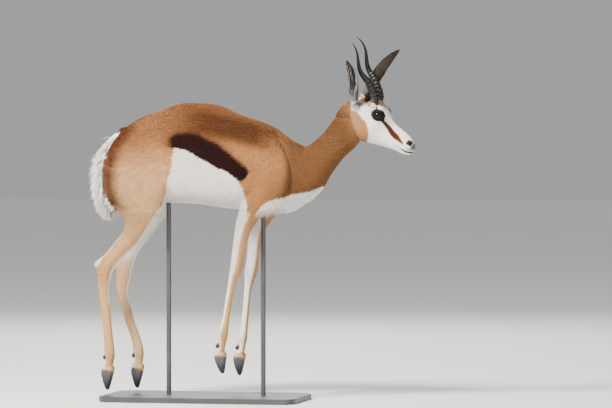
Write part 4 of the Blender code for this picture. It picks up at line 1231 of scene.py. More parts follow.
def body_colour(at):
    """Trunk, shoulders, thighs, rump and neck: layers of paint between drawn edges."""
    h, q, x, aside = at["h"], at["q"], at["points"][:, 0], np.abs(at["y"])
    rear = smooth_step(-0.02, -0.20, q)
    colour = mixed(np.tile(FAWN, (len(h), 1)), BACK, smooth_step(0.76, 0.86, h) * (1 - 0.35 * rear))
    colour = mixed(colour, TAN, rear * smooth_step(0.82, 0.70, h))
    from_ridge = h - (0.908 - 0.26 * np.clip(q, 0, 1))
    withers = within(q, -0.04, 0.22, 0.06) * within(from_ridge, -0.060, 0.010, 0.018)
    colour = mixed(colour, DARK_BACK, 0.80 * withers)
    colour = mixed(colour, BACK, 0.4 * within(q, 0.20, 0.27, 0.03) * smooth_step(0.74, 0.66, h))
    wander = np.sin(38 * x + 9 * np.sin(21 * h)) * np.sin(33 * h + 7 * np.sin(17 * x))
    colour = colour * (1 + 0.07 * wander[:, None])
    top, foot = edge(STRIPE_TOP, q), edge(STRIPE_FOOT, q)
    halo = smooth_step(top + 0.030, top - 0.004, h) * smooth_step(foot - 0.010, foot, h)
    colour = mixed(colour, RUMP_BROWN, 0.42 * (halo * within(q, -0.125, 0.165, 0.03)))
    stripe = smooth_step(top + 0.010, top - 0.010, h) * smooth_step(foot - 0.002, foot + 0.002, h)
    stripe = stripe * smooth_step(-0.134, -0.098, q) * smooth_step(0.158, 0.142, q)
    patch = smooth_step(foot + 0.0015, foot - 0.0015, h)
    patch = patch * smooth_step(-0.002, 0.002, q - edge(PATCH_REAR, h))
    patch = patch * smooth_step(0.002, -0.002, q - edge(PATCH_FRONT, h)) * (h < 0.81)
    chest = smooth_step(0.002, -0.002, h - edge(CHEST_TOP, q)) * smooth_step(0.150, 0.158, q)
    under = within(q, -0.17, 0.385, 0.01) * np.maximum(
        smooth_step(-0.50, -0.72, at["normals"][:, 2]) * smooth_step(0.66, 0.63, h),
        smooth_step(0.075, 0.055, aside) * smooth_step(0.63, 0.61, h),
    )
    neck = smooth_step(0.255, 0.295, q + 0.02 * smooth_step(0.75, 0.65, h))
    colour = mixed(colour, NECK_BROWN, neck * (0.92 - 0.25 * smooth_step(0.80, 0.92, h)))
    nape = 0.75 * smooth_step(0.455, 0.51, q + 0.35 * (h - 0.88)) * (h > 0.78)
    colour = mixed(colour, (0.31, 0.155, 0.064), nape)
    rump_edge = edge(RUMP_EDGE, h)
    band = smooth_step(rump_edge + 0.074, rump_edge + 0.022, q) * within(h, 0.60, 0.90, 0.025)
    colour = mixed(colour, RUMP_BROWN, 0.88 * band * (q < -0.2))
    dorsal = within(q, -0.36, -0.19, 0.03) * smooth_step(0.034, 0.016, aside)
    dorsal = dorsal * smooth_step(0.80, 0.83, h)
    colour = mixed(colour, (0.05, 0.018, 0.009), 0.80 * dorsal)
    colour = mixed(colour, STRIPE_BROWN, stripe)
    waves = np.sin(430 * h + 5 * np.sin(24 * x) + 3 * np.sin(67 * x + 2)) * np.sin(91 * x + 60 * h)
    white = np.maximum.reduce([patch, chest, under * (1 - stripe)])
    colour = mixed(mixed(colour, WHITE, white), SNOW, chest)
    colour = mixed(colour, (0.60, 0.545, 0.47), 0.30 * white * smooth_step(0.1, 0.9, waves))
    white_line = smooth_step(0.012, 0.008, aside) * within(q, -0.42, -0.285, 0.006)
    white_line = white_line * smooth_step(0.72, 0.75, h)
    rump = smooth_step(0.003, -0.001, q - rump_edge) * within(h, 0.50, 0.849, 0.004)
    return mixed(colour, SNOW, np.maximum(rump, white_line))


def leg_colour(at):
    """Legs below the trunk: fawn outside and in front, white inside and behind."""
    h, ahead, out, hind = at["h"], at["ahead"], at["out"], at["leg"] >= 2
    low = np.array(TAN) * (0.88, 0.84, 0.72)
    colour = mixed(np.tile(TAN, (len(h), 1)), low, smooth_step(0.52, 0.36, h))
    colour = mixed(colour, FAWN, np.where(hind, 0.0, 0.75 * smooth_step(0.42, 0.62, h)))
    colour = mixed(colour, FAWN, 0.35 * smooth_step(0.10, 0.05, h) * smooth_step(-0.2, 0.6, ahead))
    outer_edge = np.interp(h, (0.10, 0.20, 0.30, 0.42, 0.55), (-0.40, -0.20, -0.12, 0.08, 0.20))
    edge_ahead = np.where(out > -0.25, outer_edge, 0.55 - 0.40 * smooth_step(0.16, 0.10, h))
    fore_white = smooth_step(edge_ahead + 0.10, edge_ahead - 0.10, ahead)
    fore_white = fore_white * (1 - 0.35 * smooth_step(0.13, 0.09, h))
    inner = smooth_step(-0.10, -0.40, out) * (0.12 + 0.88 * smooth_step(0.40, 0.46, h))
    front = smooth_step(0.66, 0.84, ahead) * smooth_step(0.26, 0.30, h)
    drawn = smooth_step(-0.003, 0.003, at["q"] - edge(PATCH_REAR, h)) * smooth_step(0.330, 0.350, h)
    front = np.maximum(front, np.where(at["leg"] == 2, drawn, smooth_step(0.50, 0.66, ahead) * (h > 0.52)))
    rear = smooth_step(-0.70, -0.86, ahead) * within(h, 0.405, 0.505, 0.008)
    hind_white = np.maximum.reduce([inner, front, rear])
    colour = mixed(colour, WHITE, np.where(hind, hind_white, fore_white))
    fetlock = smooth_step(-0.25, -0.65, ahead) * within(h, 0.045, 0.125, 0.015)
    return mixed(colour, WHITE, 0.75 * fetlock)


def head_colour(at, colour):
    """The white face with its tan cheek, brown stripe, black lids, nostrils and lips."""
    s, t, width = at["s"], at["t"], np.abs(at["w"])
    face = np.tile(WHITE, (len(s), 1))
    cheek = smooth_step(0.002, -0.002, t - edge(CHEEK_TOP, s))
    face = mixed(face, (0.365, 0.192, 0.088), cheek)
    poll = smooth_step(0.064, 0.056, s) * smooth_step(0.036, 0.046, t) * smooth_step(0.060, 0.045, width)
    face = mixed(face, POLL_ORANGE, poll)
    ear_root = within(s, -0.040, 0.040, 0.008) * smooth_step(0.028, 0.038, width)
    ear_root = ear_root * smooth_step(-0.004, 0.010, t)
    face = mixed(face, (0.20, 0.19, 0.188), 0.85 * ear_root)
    fawn = within(s, 0.050, 0.112, 0.010) * smooth_step(0.028, 0.018, width) * smooth_step(0.045, 0.060, t)
    face = mixed(face, (0.42, 0.25, 0.125), 0.75 * fawn)
    off_line = np.abs(t - np.interp(s, (0.062, 0.085), (0.064, 0.048)))
    line = smooth_step(0.0050, 0.0028, off_line) * within(s, 0.061, 0.088, 0.003)
    face = mixed(face, FACE_BROWN, line * (width > 0.02))
    low, high = edge(FACE_STRIPE_FOOT, s), edge(FACE_STRIPE_TOP, s)
    stripe = within(t, low, high, 0.0014) * within(s, 0.110, 0.2165, 0.004) * (width > 0.010)
    stripe_colour = np.tile((0.055, 0.014, 0.006), (len(s), 1))
    stripe_colour = mixed(stripe_colour, (0.120, 0.034, 0.010), smooth_step(0.170, 0.220, s))
    face = mixed(face, stripe_colour, stripe)
    lids = np.hypot((s - 0.0984) / 0.0225, (t - 0.0340) / 0.0185)
    gland = np.hypot((s - 0.1160) / 0.0085, (t - 0.0285) / 0.0065)
    black = np.maximum(smooth_step(1.06, 0.92, lids), smooth_step(1.15, 0.85, gland)) * (width > 0.026)
    face = mixed(face, BLACK, black)
    nose = within(s, 0.2215, 0.2400, 0.0015) * within(t, 0.0015, 0.0160, 0.0015) * (width > 0.004)
    pad = smooth_step(0.2385, 0.2425, s) * within(t, -0.006, 0.0150, 0.003)
    face = mixed(face, (0.020, 0.018, 0.018), np.maximum(nose, 0.85 * pad))
    lip = smooth_step(0.226, 0.240, s) * within(t, -0.0150, -0.0050, 0.003)
    face = mixed(face, (0.30, 0.275, 0.255), 0.7 * lip)
    mouth_width = np.interp(s, (0.198, 0.215, 0.235, 0.25), (0.0006, 0.0015, 0.0028, 0.0034))
    mouth_dark = smooth_step(1.3, 0.8, np.abs(t - edge(MOUTH_EDGE, s)) / mouth_width) * (s > 0.199)
    face = mixed(face, (0.016, 0.013, 0.013), mouth_dark)
    chin = smooth_step(0.225, 0.240, s) * smooth_step(-0.026, -0.034, t)
    face = mixed(face, (0.20, 0.175, 0.155), 0.6 * chin)
    throat = smooth_step(0.003, -0.003, t - edge(THROAT_TOP, s))
    face = mixed(face, colour, throat)
    # Painted shade: a dark brown line along the crease where the throat meets the cheek.
    jaw_crease_shade = smooth_step(0.005, 0.0, np.abs(t + 0.002 - edge(THROAT_TOP, s))) * (s > 0.01) * (s < 0.095)
    return mixed(face, (0.10, 0.040, 0.016), 0.5 * jaw_crease_shade)


def ear_colour(at):
    """Grey outside with a pale fringe, dark in the hollow with pale grey hair in streaks."""
    u, v = at["ear"], at["round_ear"]
    back = np.tile(EAR_GREY, (len(u), 1)) * (1.15 - 0.45 * smooth_step(0.55, 1.0, u))[:, None]
    back = mixed(back, (0.17, 0.155, 0.145), 0.60 * smooth_step(0.35, 0.05, u))
    inside = np.tile((0.026, 0.021, 0.020), (len(u), 1))
    streaks = smooth_step(0.25, 0.75, np.sin(5.0 * np.pi * v + 0.8)) * within(u, 0.08, 0.86, 0.06)
    inside = mixed(inside, (0.36, 0.34, 0.32), 0.60 * streaks * smooth_step(0.15, 0.45, np.abs(v)))
    colour = np.where(at["hollow"][:, None], inside, back)
    fringe = 0.6 * smooth_step(0.92, 0.97, np.abs(v)) * within(u, 0.30, 0.92, 0.08)
    return mixed(colour, (0.42, 0.40, 0.37), fringe)


def coat_colour(at):
    """The colour of the coat at every surveyed point."""
    colour = body_colour(at)
    legs = leg_colour(at)
    into_leg = at["on_leg"] * smooth_step(0.605, 0.560, at["h"])
    colour = mixed(colour, legs, into_leg)
    head = head_colour(at, colour)
    colour = np.where(at["on_head"][:, None], head, colour)
    return np.where((at["ear"] > 0)[:, None], ear_colour(at), colour)


def laid_over(on, new, old):
    """The new values where on is true, and the old ones elsewhere."""
    return [np.where(on, one, other) for one, other in zip(new, old)]


def unwrapped(at):
    """Chart number, place along and turn round each chart (0 to 1): trunk, neck and head
    round their long axes, each leg round its path, and the ears leaf by leaf."""
    points, s, t, w = at["points"], at["s"], at["t"], at["w"]
    x, y, rise = points[:, 0], points[:, 1], at["h"] - 0.755
    tail_end = smooth_step(-0.20, -0.32, x) * np.clip(0.19 - np.hypot(y, rise), 0, 0.19)
    place = (np.zeros(len(points), int), (x - tail_end + 0.60) / 1.05, np.arctan2(y, rise))
    climb = (points - (0.30, 0.0, 0.74)) @ np.array((0.62, 0.0, 0.78))
    across = points @ np.array((0.78, 0.0, -0.62)) - (0.30 * 0.78 - 0.74 * 0.62)
    place = laid_over(at["neck"], (1, (climb + 0.12) / 0.45, np.arctan2(y, -across)), place)
    from_axis = np.arctan2(w, t + 0.005 + 0.02 * np.clip(s / 0.2, 0, 1))
    nose_end = smooth_step(0.20, 0.235, s) * np.clip(0.035 - np.hypot(w, t + 0.02), 0, 1)
    place = laid_over(at["on_head"], (2, (s + nose_end + 0.03) / 0.33, from_axis), place)
    round_leg = np.arctan2(at["out"], at["ahead"])
    place = laid_over(at["on_leg"], (3 + at["leg"], at["step"] / LEG_STEPS, round_leg), place)
    leaf = (7 + 2 * at["left_ear"] + at["hollow"], at["ear"], at["round_ear"] * 0.9 * math.pi)
    chart, along, turn = laid_over(at["ear"] > 0, leaf, place)
    return chart, along, turn / (2 * math.pi) + 0.5


# Corner and size of each chart on the unit square
CHARTS = np.array(
    [(0.02, 0.52, 0.60, 0.46), (0.65, 0.52, 0.32, 0.46), (0.02, 0.03, 0.26, 0.45)]
    + [(0.31 + 0.115 * i, 0.03, 0.095, 0.45) for i in range(4)]
    + [(left, low, 0.085, 0.20) for low in (0.03, 0.27) for left in (0.78, 0.89)]
)


def on_charts(chart, along, turn):
    """The place on the unit square: the chart's corner plus along and turn of its size."""
    corner = CHARTS[chart]
    place = np.stack([np.clip(along, 0, 1), turn], axis=-1)
    return corner[..., :2] + place * corner[..., 2:]


def normals_of(mesh):
    """The normal at each of the mesh's points."""
    found = np.empty(len(mesh.vertices) * 3, np.float32)
    mesh.vertex_normals.foreach_get("vector", found)
    return found.reshape(-1, 3).astype(float)


def corners_of(mesh):
    """The numbers of the three points of each of the mesh's triangles."""
    found = np.empty(len(mesh.loops), np.int32)
    mesh.loops.foreach_get("vertex_index", found)
    return found.reshape(-1, 3)


SKIN_NORMALS = normals_of(skin.data)
SKIN_FACES = corners_of(skin.data)
SKIN_AT = survey(SKIN_POINTS, SKIN_NORMALS)
SKIN_COLOUR = coat_colour(SKIN_AT)
chart, along, turn = unwrapped(SKIN_AT)
face_chart = chart[SKIN_FACES[:, 0]]
face_along, face_turn = along[SKIN_FACES], turn[SKIN_FACES]
for corner in (1, 2):
    other = chart[SKIN_FACES[:, corner]] != face_chart
    face_along[:, corner] = np.where(other, face_along[:, 0] + 0.004 * corner, face_along[:, corner])
    face_turn[:, corner] = np.where(other, face_turn[:, 0] + 0.004, face_turn[:, corner])
from_first = face_turn - face_turn[:, :1]
face_turn = face_turn - (from_first > 0.5) + (from_first < -0.5)
face_turn = np.clip(face_turn, -0.02, 1.02)
SKIN_MAP = on_charts(np.repeat(face_chart[:, None], 3, axis=1), face_along, face_turn)
bake_map = skin.data.uv_layers.new(name="OFBake")
bake_map.data.foreach_set("uv", SKIN_MAP.astype(np.float32).ravel())


def painted(mesh, colours):
    """Stores one colour for each vertex, which the hair material reads."""
    store = mesh.color_attributes.new("coat", "FLOAT_COLOR", "POINT")
    full = np.ones((len(colours), 4), np.float32)
    full[:, :3] = np.clip(colours, 0.002, 0.95)
    store.data.foreach_set("color", full.ravel())


def coat_material(name, roughness):
    """Hair or haired skin: the stored colour times a fine noise, on a rough surface."""
    made = new_material(name, (0.5, 0.3, 0.2), roughness, 0.12)
    stored = node(made, "ShaderNodeAttribute", attribute_name="coat")
    place = node(made, "ShaderNodeTexCoord")
    noise = node(made, "ShaderNodeTexNoise", Scale=260.0, Detail=4.0)
    range_of = node(made, "ShaderNodeMapRange", To_Min=0.86, To_Max=1.12)
    blend = node(made, "ShaderNodeMix", data_type="RGBA", blend_type="MULTIPLY")
    blend.inputs["Factor"].default_value = 1.0
    wire(made, place, "Object", noise, "Vector")
    wire(made, noise, "Fac", range_of, "Value")
    made.node_tree.links.new(stored.outputs["Color"], blend.inputs[6])
    made.node_tree.links.new(range_of.outputs["Result"], blend.inputs[7])
    made.node_tree.links.new(blend.outputs[2], shader_of(made).inputs["Base Color"])
    return made


painted(skin.data, SKIN_COLOUR)
haired_skin = coat_material("haired_skin", 0.85)
rippled(haired_skin, 900.0, 0.0004, 4.0, (0.35, 1.0, 1.0))
skin.data.materials.clear()
skin.data.materials.append(haired_skin)
skin.data.polygons.foreach_set("material_index", np.zeros(len(SKIN_FACES), np.int32))


# Short coat: overlapping flat tufts of fine hair, thousands to a hand's breadth. They lie
# back over the trunk, down the neck, thighs and legs and away from the nose, and are
# shortest and finest on the face, ears and feet. Each is rooted in the skin.
BODY_TUFTS = 74000
LEG_TUFTS = 46000
HEAD_TUFTS = 42000
EAR_TUFTS = 12000


def way_of_hair(at):
    """The direction in which the hair lies: a few fixed directions blended by place, with
    the part that points out of the skin taken away."""
    h, q = at["h"], at["q"]
    ahead, _, crown = head_axes()
    way = np.tile((-1.0, 0.0, -0.30), (len(h), 1))
    way = mixed(way, (-0.30, 0.0, -1.0), smooth_step(-0.10, -0.22, q) * smooth_step(0.88, 0.74, h))
    way = mixed(way, (-0.40, 0.0, -1.0), within(q, 0.12, 0.28, 0.05) * smooth_step(0.84, 0.72, h))
    way = mixed(way, (-1.0, 0.0, -0.05), within(q, -0.10, 0.11, 0.03) * smooth_step(0.78, 0.70, h))
    way = mixed(way, (-0.55, 0.0, -0.80), smooth_step(0.26, 0.33, q))
    rump_edge = edge(RUMP_EDGE, h)
    way = mixed(way, (-1.0, 0.0, -0.55), smooth_step(rump_edge + 0.06, rump_edge, q) * (h > 0.6))
    back = -ahead - 0.22 * crown * smooth_step(0.02, -0.04, at["t"])[:, None]
    way = np.where(at["on_head"][:, None], back, way)
    down = LEG_ALONG[at["leg"], at["step"]] - 0.12 * LEG_AHEAD[at["leg"], at["step"]]
    way = np.where(at["on_leg"][:, None], down, way)
    for side, word, chosen in ((-1, "right", ~at["left_ear"]), (1, "left", at["left_ear"])):
        up_ear = unit(np.array(EAR_TIP[word]) - np.array(EAR_ROOT) * (1, side, 1)) @ np.stack(head_axes())
        way = np.where((chosen & (at["ear"] > 0))[:, None], up_ear, way)
    way = way - at["normals"] * (way * at["normals"]).sum(1, keepdims=True)
    return unit(way)


def hair_size(at):
    """Length, half width and lift of a tuft at each place."""
    h, s = at["h"], at["s"]
    count = len(h)
    length, half_width, lift = np.full(count, 0.0135), np.full(count, 0.00125), np.full(count, 0.0034)
    length = np.where(at["neck"], 0.0120, length)
    slender = fullness(LEG_SAMPLES[at["leg"], at["step"], 4])
    length = np.where(at["on_leg"], 0.0045 + 0.0070 * slender, length)
    half_width = np.where(at["on_leg"], 0.00065 + 0.00050 * slender, half_width)
    lift = np.where(at["on_leg"], 0.0036 * slender, lift)
    face = 0.0030 + 0.0050 * smooth_step(0.13, 0.03, s)
    length = np.where(at["on_head"], face, length)
    half_width = np.where(at["on_head"], 0.00050 + 0.00030 * smooth_step(0.12, 0.03, s), half_width)
    lift = np.where(at["on_head"], 0.0010 + 0.0008 * smooth_step(0.12, 0.03, s), lift)
    on_ear = at["ear"] > 0
    length = np.where(on_ear, 0.0050, length)
    half_width = np.where(on_ear, 0.00060, half_width)
    return length, half_width, np.where(on_ear, 0.0008, lift)


def scattered(faces, count, random):
    """Even places on the skin: equal steps along the running total of the chosen faces'
    areas, each at a random place within its face."""
    corners = SKIN_POINTS[SKIN_FACES[faces]]
    area = np.linalg.norm(np.cross(corners[:, 1] - corners[:, 0], corners[:, 2] - corners[:, 0]), axis=1)
    total = np.cumsum(area)
    steps = (np.arange(count) + random.uniform(0.0, 1.0, count)) * total[-1] / count
    chosen = np.minimum(np.searchsorted(total, steps), len(faces) - 1)
    a, b = random.uniform(0, 1, (2, count, 1))
    fold = a + b > 1
    a, b = np.where(fold, 1 - a, a), np.where(fold, 1 - b, b)
    corners = corners[chosen]
    points = corners[:, 0] * (1 - a - b) + corners[:, 1] * a + corners[:, 2] * b
    turned = SKIN_NORMALS[SKIN_FACES[faces[chosen]]]
    return points, unit(turned[:, 0] * (1 - a - b) + turned[:, 1] * a + turned[:, 2] * b)


def hair_piece(name, points, triangles, colours, root_map, local, material):
    """A mesh of many tufts: points (tufts, per tuft, 3), triangles of one tuft, a colour
    and a small patch of the bake map, 0.003 across, for each."""
    tufts, each = points.shape[:2]
    every = (np.arange(tufts)[:, None, None] * each + triangles).reshape(-1, 3)
    made = surface(name, points.reshape(-1, 3), every)
    painted(made.data, colours.reshape(-1, 3))
    patch = root_map[:, None, :] + (np.asarray(local) - 0.5) * 0.003
    layer = made.data.uv_layers.new(name="OFBake")
    layer.data.foreach_set("uv", patch.reshape(-1, 2)[every.ravel()].astype(np.float32).ravel())
    made.data.materials.append(material)
    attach(made, "root")


def outward(points, triangles):
    """The triangles turned so that the tufts' volumes are positive."""
    a, b, c = (points[:, triangles[:, i]] for i in range(3))
    middle = points.mean(1, keepdims=True)
    volume = ((a - middle) * np.cross(b - middle, c - middle)).sum()
    return triangles if volume > 0 else triangles[:, ::-1]


def tufts(name, points, normals, random, bent, material):
    """One flat pointed tuft at each root. A bent one has a middle ring; a straight one is
    three roots and a tip. Its middle line rises out of the skin and levels off."""
    at = survey(points, normals)
    way, (length, half_width, lift) = way_of_hair(at), hair_size(at)
    count = len(points)
    across = np.cross(normals, way)
    way = unit(way + across * random.normal(0, 0.13, (count, 1)))
    across = np.cross(normals, way)
    length = length * random.uniform(0.75, 1.15, count)
    lift = lift * random.uniform(0.45, 1.0, count)
    thick = 0.42 * half_width
    root = points - normals * 0.0004
    one = root - across * half_width[:, None]
    two = root + across * half_width[:, None]
    three = root + normals * thick[:, None] * 2
    tip = root + way * length[:, None] + normals * lift[:, None]
    shade = 1 + random.normal(0, 0.075, (count, 1))
    colour = coat_colour(at) * shade
    if bent:
        middle = root + way * (0.5 * length)[:, None] + normals * (0.80 * lift)[:, None]
        side = across * (0.9 * half_width)[:, None]
        ring = (middle - side, middle + side, middle + normals * thick[:, None])
        shape = np.stack([one, two, three, *ring, tip], axis=1)
        wall = [(0, 1, 4), (0, 4, 3), (1, 2, 5), (1, 5, 4), (2, 0, 3), (2, 3, 5)]
        faces = np.array([(0, 2, 1), *wall, (3, 4, 6), (4, 5, 6), (5, 3, 6)])
        local = [(0.0, 0.0), (1.0, 0.0), (0.5, 0.1), (0.1, 0.5), (0.9, 0.5), (0.5, 0.6), (0.5, 1.0)]
        root_shade = (0.84, 0.84, 0.84, 0.98, 0.98, 0.98, 1.06)
    else:
        shape = np.stack([one, two, three, tip], axis=1)
        faces = np.array([(0, 2, 1), (0, 1, 3), (1, 2, 3), (2, 0, 3)])
        local = [(0.0, 0.0), (1.0, 0.0), (0.5, 0.2), (0.5, 1.0)]
        root_shade = (0.88, 0.88, 0.88, 1.05)
    # Each tuft is painted darker at its roots and a little lighter at its tip: painted shade down among the
    # hairs.
    colours = colour[:, None, :] * np.array(root_shade)[None, :, None]
    root_map = on_charts(*unwrapped(at))
    hair_piece(name, shape, outward(shape, faces), colours, root_map, local, material)


hair = coat_material("short_hair", 0.72)
random = np.random.default_rng(7)
face_of = {key: SKIN_AT[key][SKIN_FACES[:, 0]] for key in ("on_leg", "on_head", "ear", "rump", "leg", "s")}
in_socket = np.zeros(len(SKIN_FACES), bool)
for word in EYES:
    in_socket |= np.linalg.norm(SKIN_POINTS[SKIN_FACES].mean(1) - EYES[word], axis=1) < EYE_RADIUS + 0.0012
bare = in_socket | (face_of["s"] > 0.240) & face_of["on_head"]
on_body = ~face_of["on_leg"] & ~face_of["on_head"] & (face_of["ear"] < 0) & ~face_of["rump"]
faces = np.flatnonzero(on_body)
points, normals = scattered(faces, BODY_TUFTS, random)
order = np.argsort(points[:, 0])
for number, chosen in enumerate(np.array_split(order, 4)):
    tufts(f"coat_body_{number + 1}", points[chosen], normals[chosen], random, True, hair)
for number, word in enumerate(LEG_WORDS):
    faces = np.flatnonzero(face_of["on_leg"] & (face_of["leg"] == number))
    points, normals = scattered(faces, LEG_TUFTS // 4, random)
    tufts("coat_leg_" + word, points, normals, random, False, hair)
faces = np.flatnonzero(face_of["on_head"] & ~bare)
points, normals = scattered(faces, HEAD_TUFTS, random)
tufts("coat_head", points, normals, random, False, hair)
faces = np.flatnonzero(face_of["ear"] > 0)
points, normals = scattered(faces, EAR_TUFTS, random)
tufts("coat_ears", points, normals, random, False, hair)


# Long hair: loose white locks over the rump and along the tail, a dark tuft behind the
# horns, pale grey fringes on the ears, and short locks round the roots of the horns and the
# tops of the hooves. Each is a bunch of hairs rooted in the skin, flat, bent and pointed.
def locks(name, root, way, bend, length, half_width, flat, colours, rings=5):
    """Flat closed tubes whose middle line is root + length (way u + bend u^2); the width
    swells to its widest at a quarter of the length and runs out to a point."""
    count, sides = len(root), 4
    u = np.linspace(0, 1, rings)
    length, half_width = np.broadcast_to(length, count), np.broadcast_to(half_width, count)
    way = unit(way)
    path = way[:, None, :] * u[None, :, None] + np.asarray(bend)[:, None, :] * (u**2)[None, :, None]
    path = root[:, None, :] + length[:, None, None] * path
    along = unit(np.gradient(path, axis=1))
    across = unit(np.cross(along, np.broadcast_to(flat, (count, 3))[:, None, :]))
    over = np.cross(across, along)
    size = half_width[:, None] * np.interp(u, (0, 0.25, 0.5, 0.75, 1), (0.65, 1.0, 0.85, 0.55, 0.05))
    turn = np.linspace(0, 2 * math.pi, sides, endpoint=False)
    ring = path[:, :, None, :] + (size[..., None] * np.cos(turn))[..., None] * across[:, :, None, :]
    ring = ring + (0.42 * size[..., None] * np.sin(turn))[..., None] * over[:, :, None, :]
    shape = np.concatenate([ring.reshape(count, -1, 3), path[:, :1], path[:, -1:]], axis=1)
    faces = outward(shape, tube_triangles(rings, sides))
    # Each lock is painted darker at its root and a little lighter at its tip: painted shade down among the
    # locks.
    shade = np.append(np.repeat(np.interp(u, (0, 0.4, 1), (0.66, 0.92, 1.05)), sides), (0.66, 1.05))
    local = np.stack([np.tile(0.5 + 0.5 * np.cos(turn), rings), np.repeat(u, sides)], axis=1)
    local = np.vstack([local, [(0.5, 0.0), (0.5, 1.0)]])
    at = survey(root, np.broadcast_to(flat, (count, 3)))
    root_map = on_charts(*unwrapped(at))
    hair_piece(name, shape, faces, colours[:, None, :] * shade[:, None], root_map, local, long_hair)


def greyed(count, colour, spread=0.06):
    """A colour for each lock, a little lighter or darker than the one given."""
    return np.tile(colour, (count, 1)) * (1 + random.normal(0, spread, (count, 1)))


long_hair = coat_material("long_hair", 0.62)

# Rump: from the skin out and down, longest at the top
count = 2300
down = (np.arange(count) + random.uniform(0, 1, count)) / count
step = random.uniform(-0.55, 1.0, count)
side = np.where(np.arange(count) % 2, 1.0, -1.0)
height = 0.836 - 0.242 * down
core_x, _, core_height, *sizes = np.array(RUMP).T
core_x, half_width, half_depth = (np.interp(-height, -core_height, row) for row in (core_x, *sizes))
room = np.maximum(half_width - 0.0345, 0.006)
y = np.clip(0.0305 + step * room, 0.002, None)
surface_x = core_x - half_depth * np.sqrt(np.clip(1 - (y / half_width) ** 2, 0.04, 1))
shown = np.clip(step, 0, 1)
stray = random.normal(0, 1, (4, count))
root = np.stack([surface_x + 0.008, y * side, height + HOOF_HEIGHT], axis=1)
way = np.stack([
    -0.56 + 0.20 * shown + 0.19 * stray[0],
    (0.05 + 0.26 * shown + 0.09 * stray[1]) * side,
    -0.46 - 0.42 * down + 0.16 * stray[2],
], axis=1)
bend = np.stack([0.02 + 0.14 * down, 0.04 * side * stray[3], np.full(count, -0.12)], axis=1)
length = 0.065 * random.uniform(0.50, 1.0, count) * (1 - 0.12 * shown - 0.24 * down)
flat = np.stack([np.full(count, -0.7), 0.6 * shown * side, np.full(count, 0.5)], axis=1)
colours = greyed(count, SNOW, 0.10)
shade = 1 - 0.30 * smooth_step(0.60, 1.0, down) * random.uniform(0.2, 1, count)
colours = colours * shade[:, None]
locks("rump_hair", root, way, bend, length, 0.0022, flat, colours)

# Tail: short hair down its stem, and the tuft at its end
count = 1100
u = np.sort(random.uniform(0.02, 0.90, count))
turn = random.uniform(-math.pi, math.pi, count)
TAIL_STEPS = 200
rows = through(TAIL, TAIL_STEPS)
step = (u * (TAIL_STEPS - 1)).astype(int)
row = rows[step]
stem = row[:, :3] + (0.0, 0.0, HOOF_HEIGHT)
along = unit(np.gradient(rows[:, :3], axis=0))[step]
out = np.stack([-np.cos(turn), np.sin(turn), 0.15 * np.cos(turn)], axis=1)
root = stem + out * (0.55 * row[:, 3:4])
tuft = smooth_step(0.72, 0.90, u)
way = along + out * random.uniform(0.12, 0.62, (count, 1)) + random.normal(0, 0.08, (count, 3))
bend = along * 0.05 + np.stack([0.75 * tuft, 0 * u, 0.10 * tuft], axis=1)
length = (0.026 + 0.010 * tuft) * random.uniform(0.6, 1.0, count)
colours = greyed(count, SNOW, 0.05)
grey = smooth_step(0.30, 0.10, np.abs(np.sin(turn))) * (np.cos(turn) > 0) * 0.35 + 0.22 * tuft
colours = mixed(colours, (0.30, 0.28, 0.27), grey)
locks("tail_hair", root, way, bend, length, 0.0020, out, colours)


def over_skin(s_w_t, count, spread, way, lift):
    """Roots round a place on the head, met on the skin from outside along the given way
    and then sunk by the lift."""
    middle = np.array(s_w_t) + random.normal(0, 1, (count, 3)) * spread
    places_on = np.array([met_from_outside(skin, from_head(m), [way])[0] for m in middle])
    return places_on - unit(way) * lift


# Head: the dark tuft behind the horns, and hair about their roots, white in front and
# orange brown behind
ahead, left, crown = head_axes()
for sign, word in SIDES:
    count = 90
    root = over_skin((0.050, 0.022 * sign, 0.030), count, (0.006, 0.005, 0.002), crown, 0.002)
    way = np.tile(0.62 * crown - 0.78 * ahead + 0.10 * sign * left, (count, 1))
    way = unit(way + random.normal(0, 0.10, (count, 3)))
    bend, length = way * 0.05 + crown * 0.10, random.uniform(0.018, 0.030, count)
    colours = greyed(count, (0.022, 0.016, 0.013))
    locks("poll_tuft_" + word, root, way, bend, length, 0.0013, crown, colours)
    count = 260
    foot = from_head(through(HORN, HORN_STEPS)[HORN_FOOT_STEP] * (1, sign, 1))
    turn = np.linspace(0, 2 * math.pi, count, endpoint=False)
    around = np.cos(turn)[:, None] * ahead + np.sin(turn)[:, None] * left
    root = foot + around * (0.0150 + 0.0035 * random.uniform(0, 1, (count, 1))) - crown * 0.006
    way = crown + 0.10 * around + random.normal(0, 0.08, (count, 3))
    tint = np.where((around @ ahead > -0.2)[:, None], greyed(count, WHITE), greyed(count, POLL_ORANGE))
    length = random.uniform(0.011, 0.018, count)
    locks("horn_root_hair_" + word, root, way, -0.30 * around, length, 0.0011, around, tint)

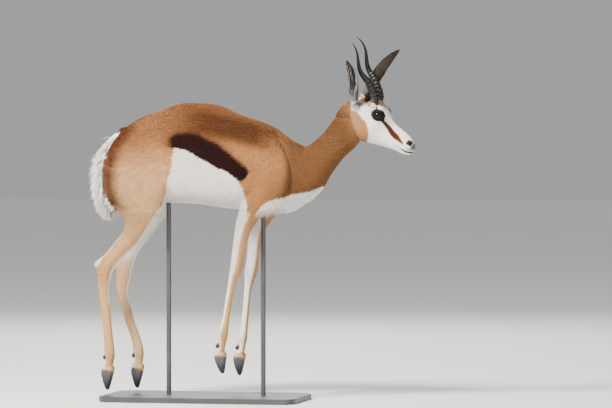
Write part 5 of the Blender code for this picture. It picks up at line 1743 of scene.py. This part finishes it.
# Ears: a pale grey fringe along both edges, and long hairs of the same grey in two rows
# down the hollow, seven columns of the leaf in from the edges
for sign, word in SIDES:
    sheet = ear_sheet(sign, word)
    root_end = from_head(np.array(EAR_ROOT) * (1, sign, 1))
    up_ear = unit(from_head(np.array(EAR_TIP[word])) - root_end)
    count = 420
    u = random.uniform(0.14, 0.68, count)
    first, last = EAR_COLUMNS, 2 * EAR_COLUMNS - 1
    column = np.where(np.arange(count) % 2, first, last)
    band = random.uniform(0, 1, count)
    inner = np.where(band < 0.30, column, np.where(np.arange(count) % 4 < 2, first + 7, last - 7))
    row = (u * (EAR_ROWS - 1)).astype(int)
    root = sheet[row, inner]
    middle = sheet[row].mean(1)
    inward = unit(middle - root)
    way = up_ear + 0.25 * inward + random.normal(0, 0.05, (count, 3))
    length = random.uniform(0.010, 0.018, count) * (1 - 0.5 * smooth_step(0.4, 0.7, u))
    colours = greyed(count, (0.28, 0.265, 0.25), 0.12)
    locks("ear_hair_" + word, root, way, 0.06 * inward, length, 0.0007, inward, colours)

# Feet: short hair round each coronet that hangs over the top of the two claws
for word, (_, depth) in HOOVES.items():
    top, tip = foot_ends(word)
    down_claw = unit(tip - top)
    front_way = np.array((-down_claw[2], 0.0, down_claw[0]))
    count = 300
    turn = np.linspace(0, 2 * math.pi, count, endpoint=False)
    around = np.cos(turn)[:, None] * front_way + np.sin(turn)[:, None] * np.array((0.0, 1.0, 0.0))
    reach = np.abs(np.cos(turn))[:, None] * depth * 0.80 + np.abs(np.sin(turn))[:, None] * 0.0135
    root = top + around * reach - down_claw * random.uniform(0.001, 0.006, (count, 1))
    way = down_claw + 0.18 * around + random.normal(0, 0.07, (count, 3))
    tint = mixed(greyed(count, WHITE), TAN, smooth_step(-0.35, 0.25, np.cos(turn)))
    length = random.uniform(0.010, 0.0165, count) * (1.1 + 0.35 * np.cos(turn))
    locks("coronet_hair_" + word, root, way, -0.16 * around, length, 0.0011, around, tint, rings=4)


# Size: the solids' box and the box of what is shown, both in metres, kept side by side.
shown_low, shown_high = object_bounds()
sizes = {
    "solids": {"low": list(solid_low), "high": list(solid_high)},
    "visual": {"low": list(shown_low), "high": list(shown_high)},
}
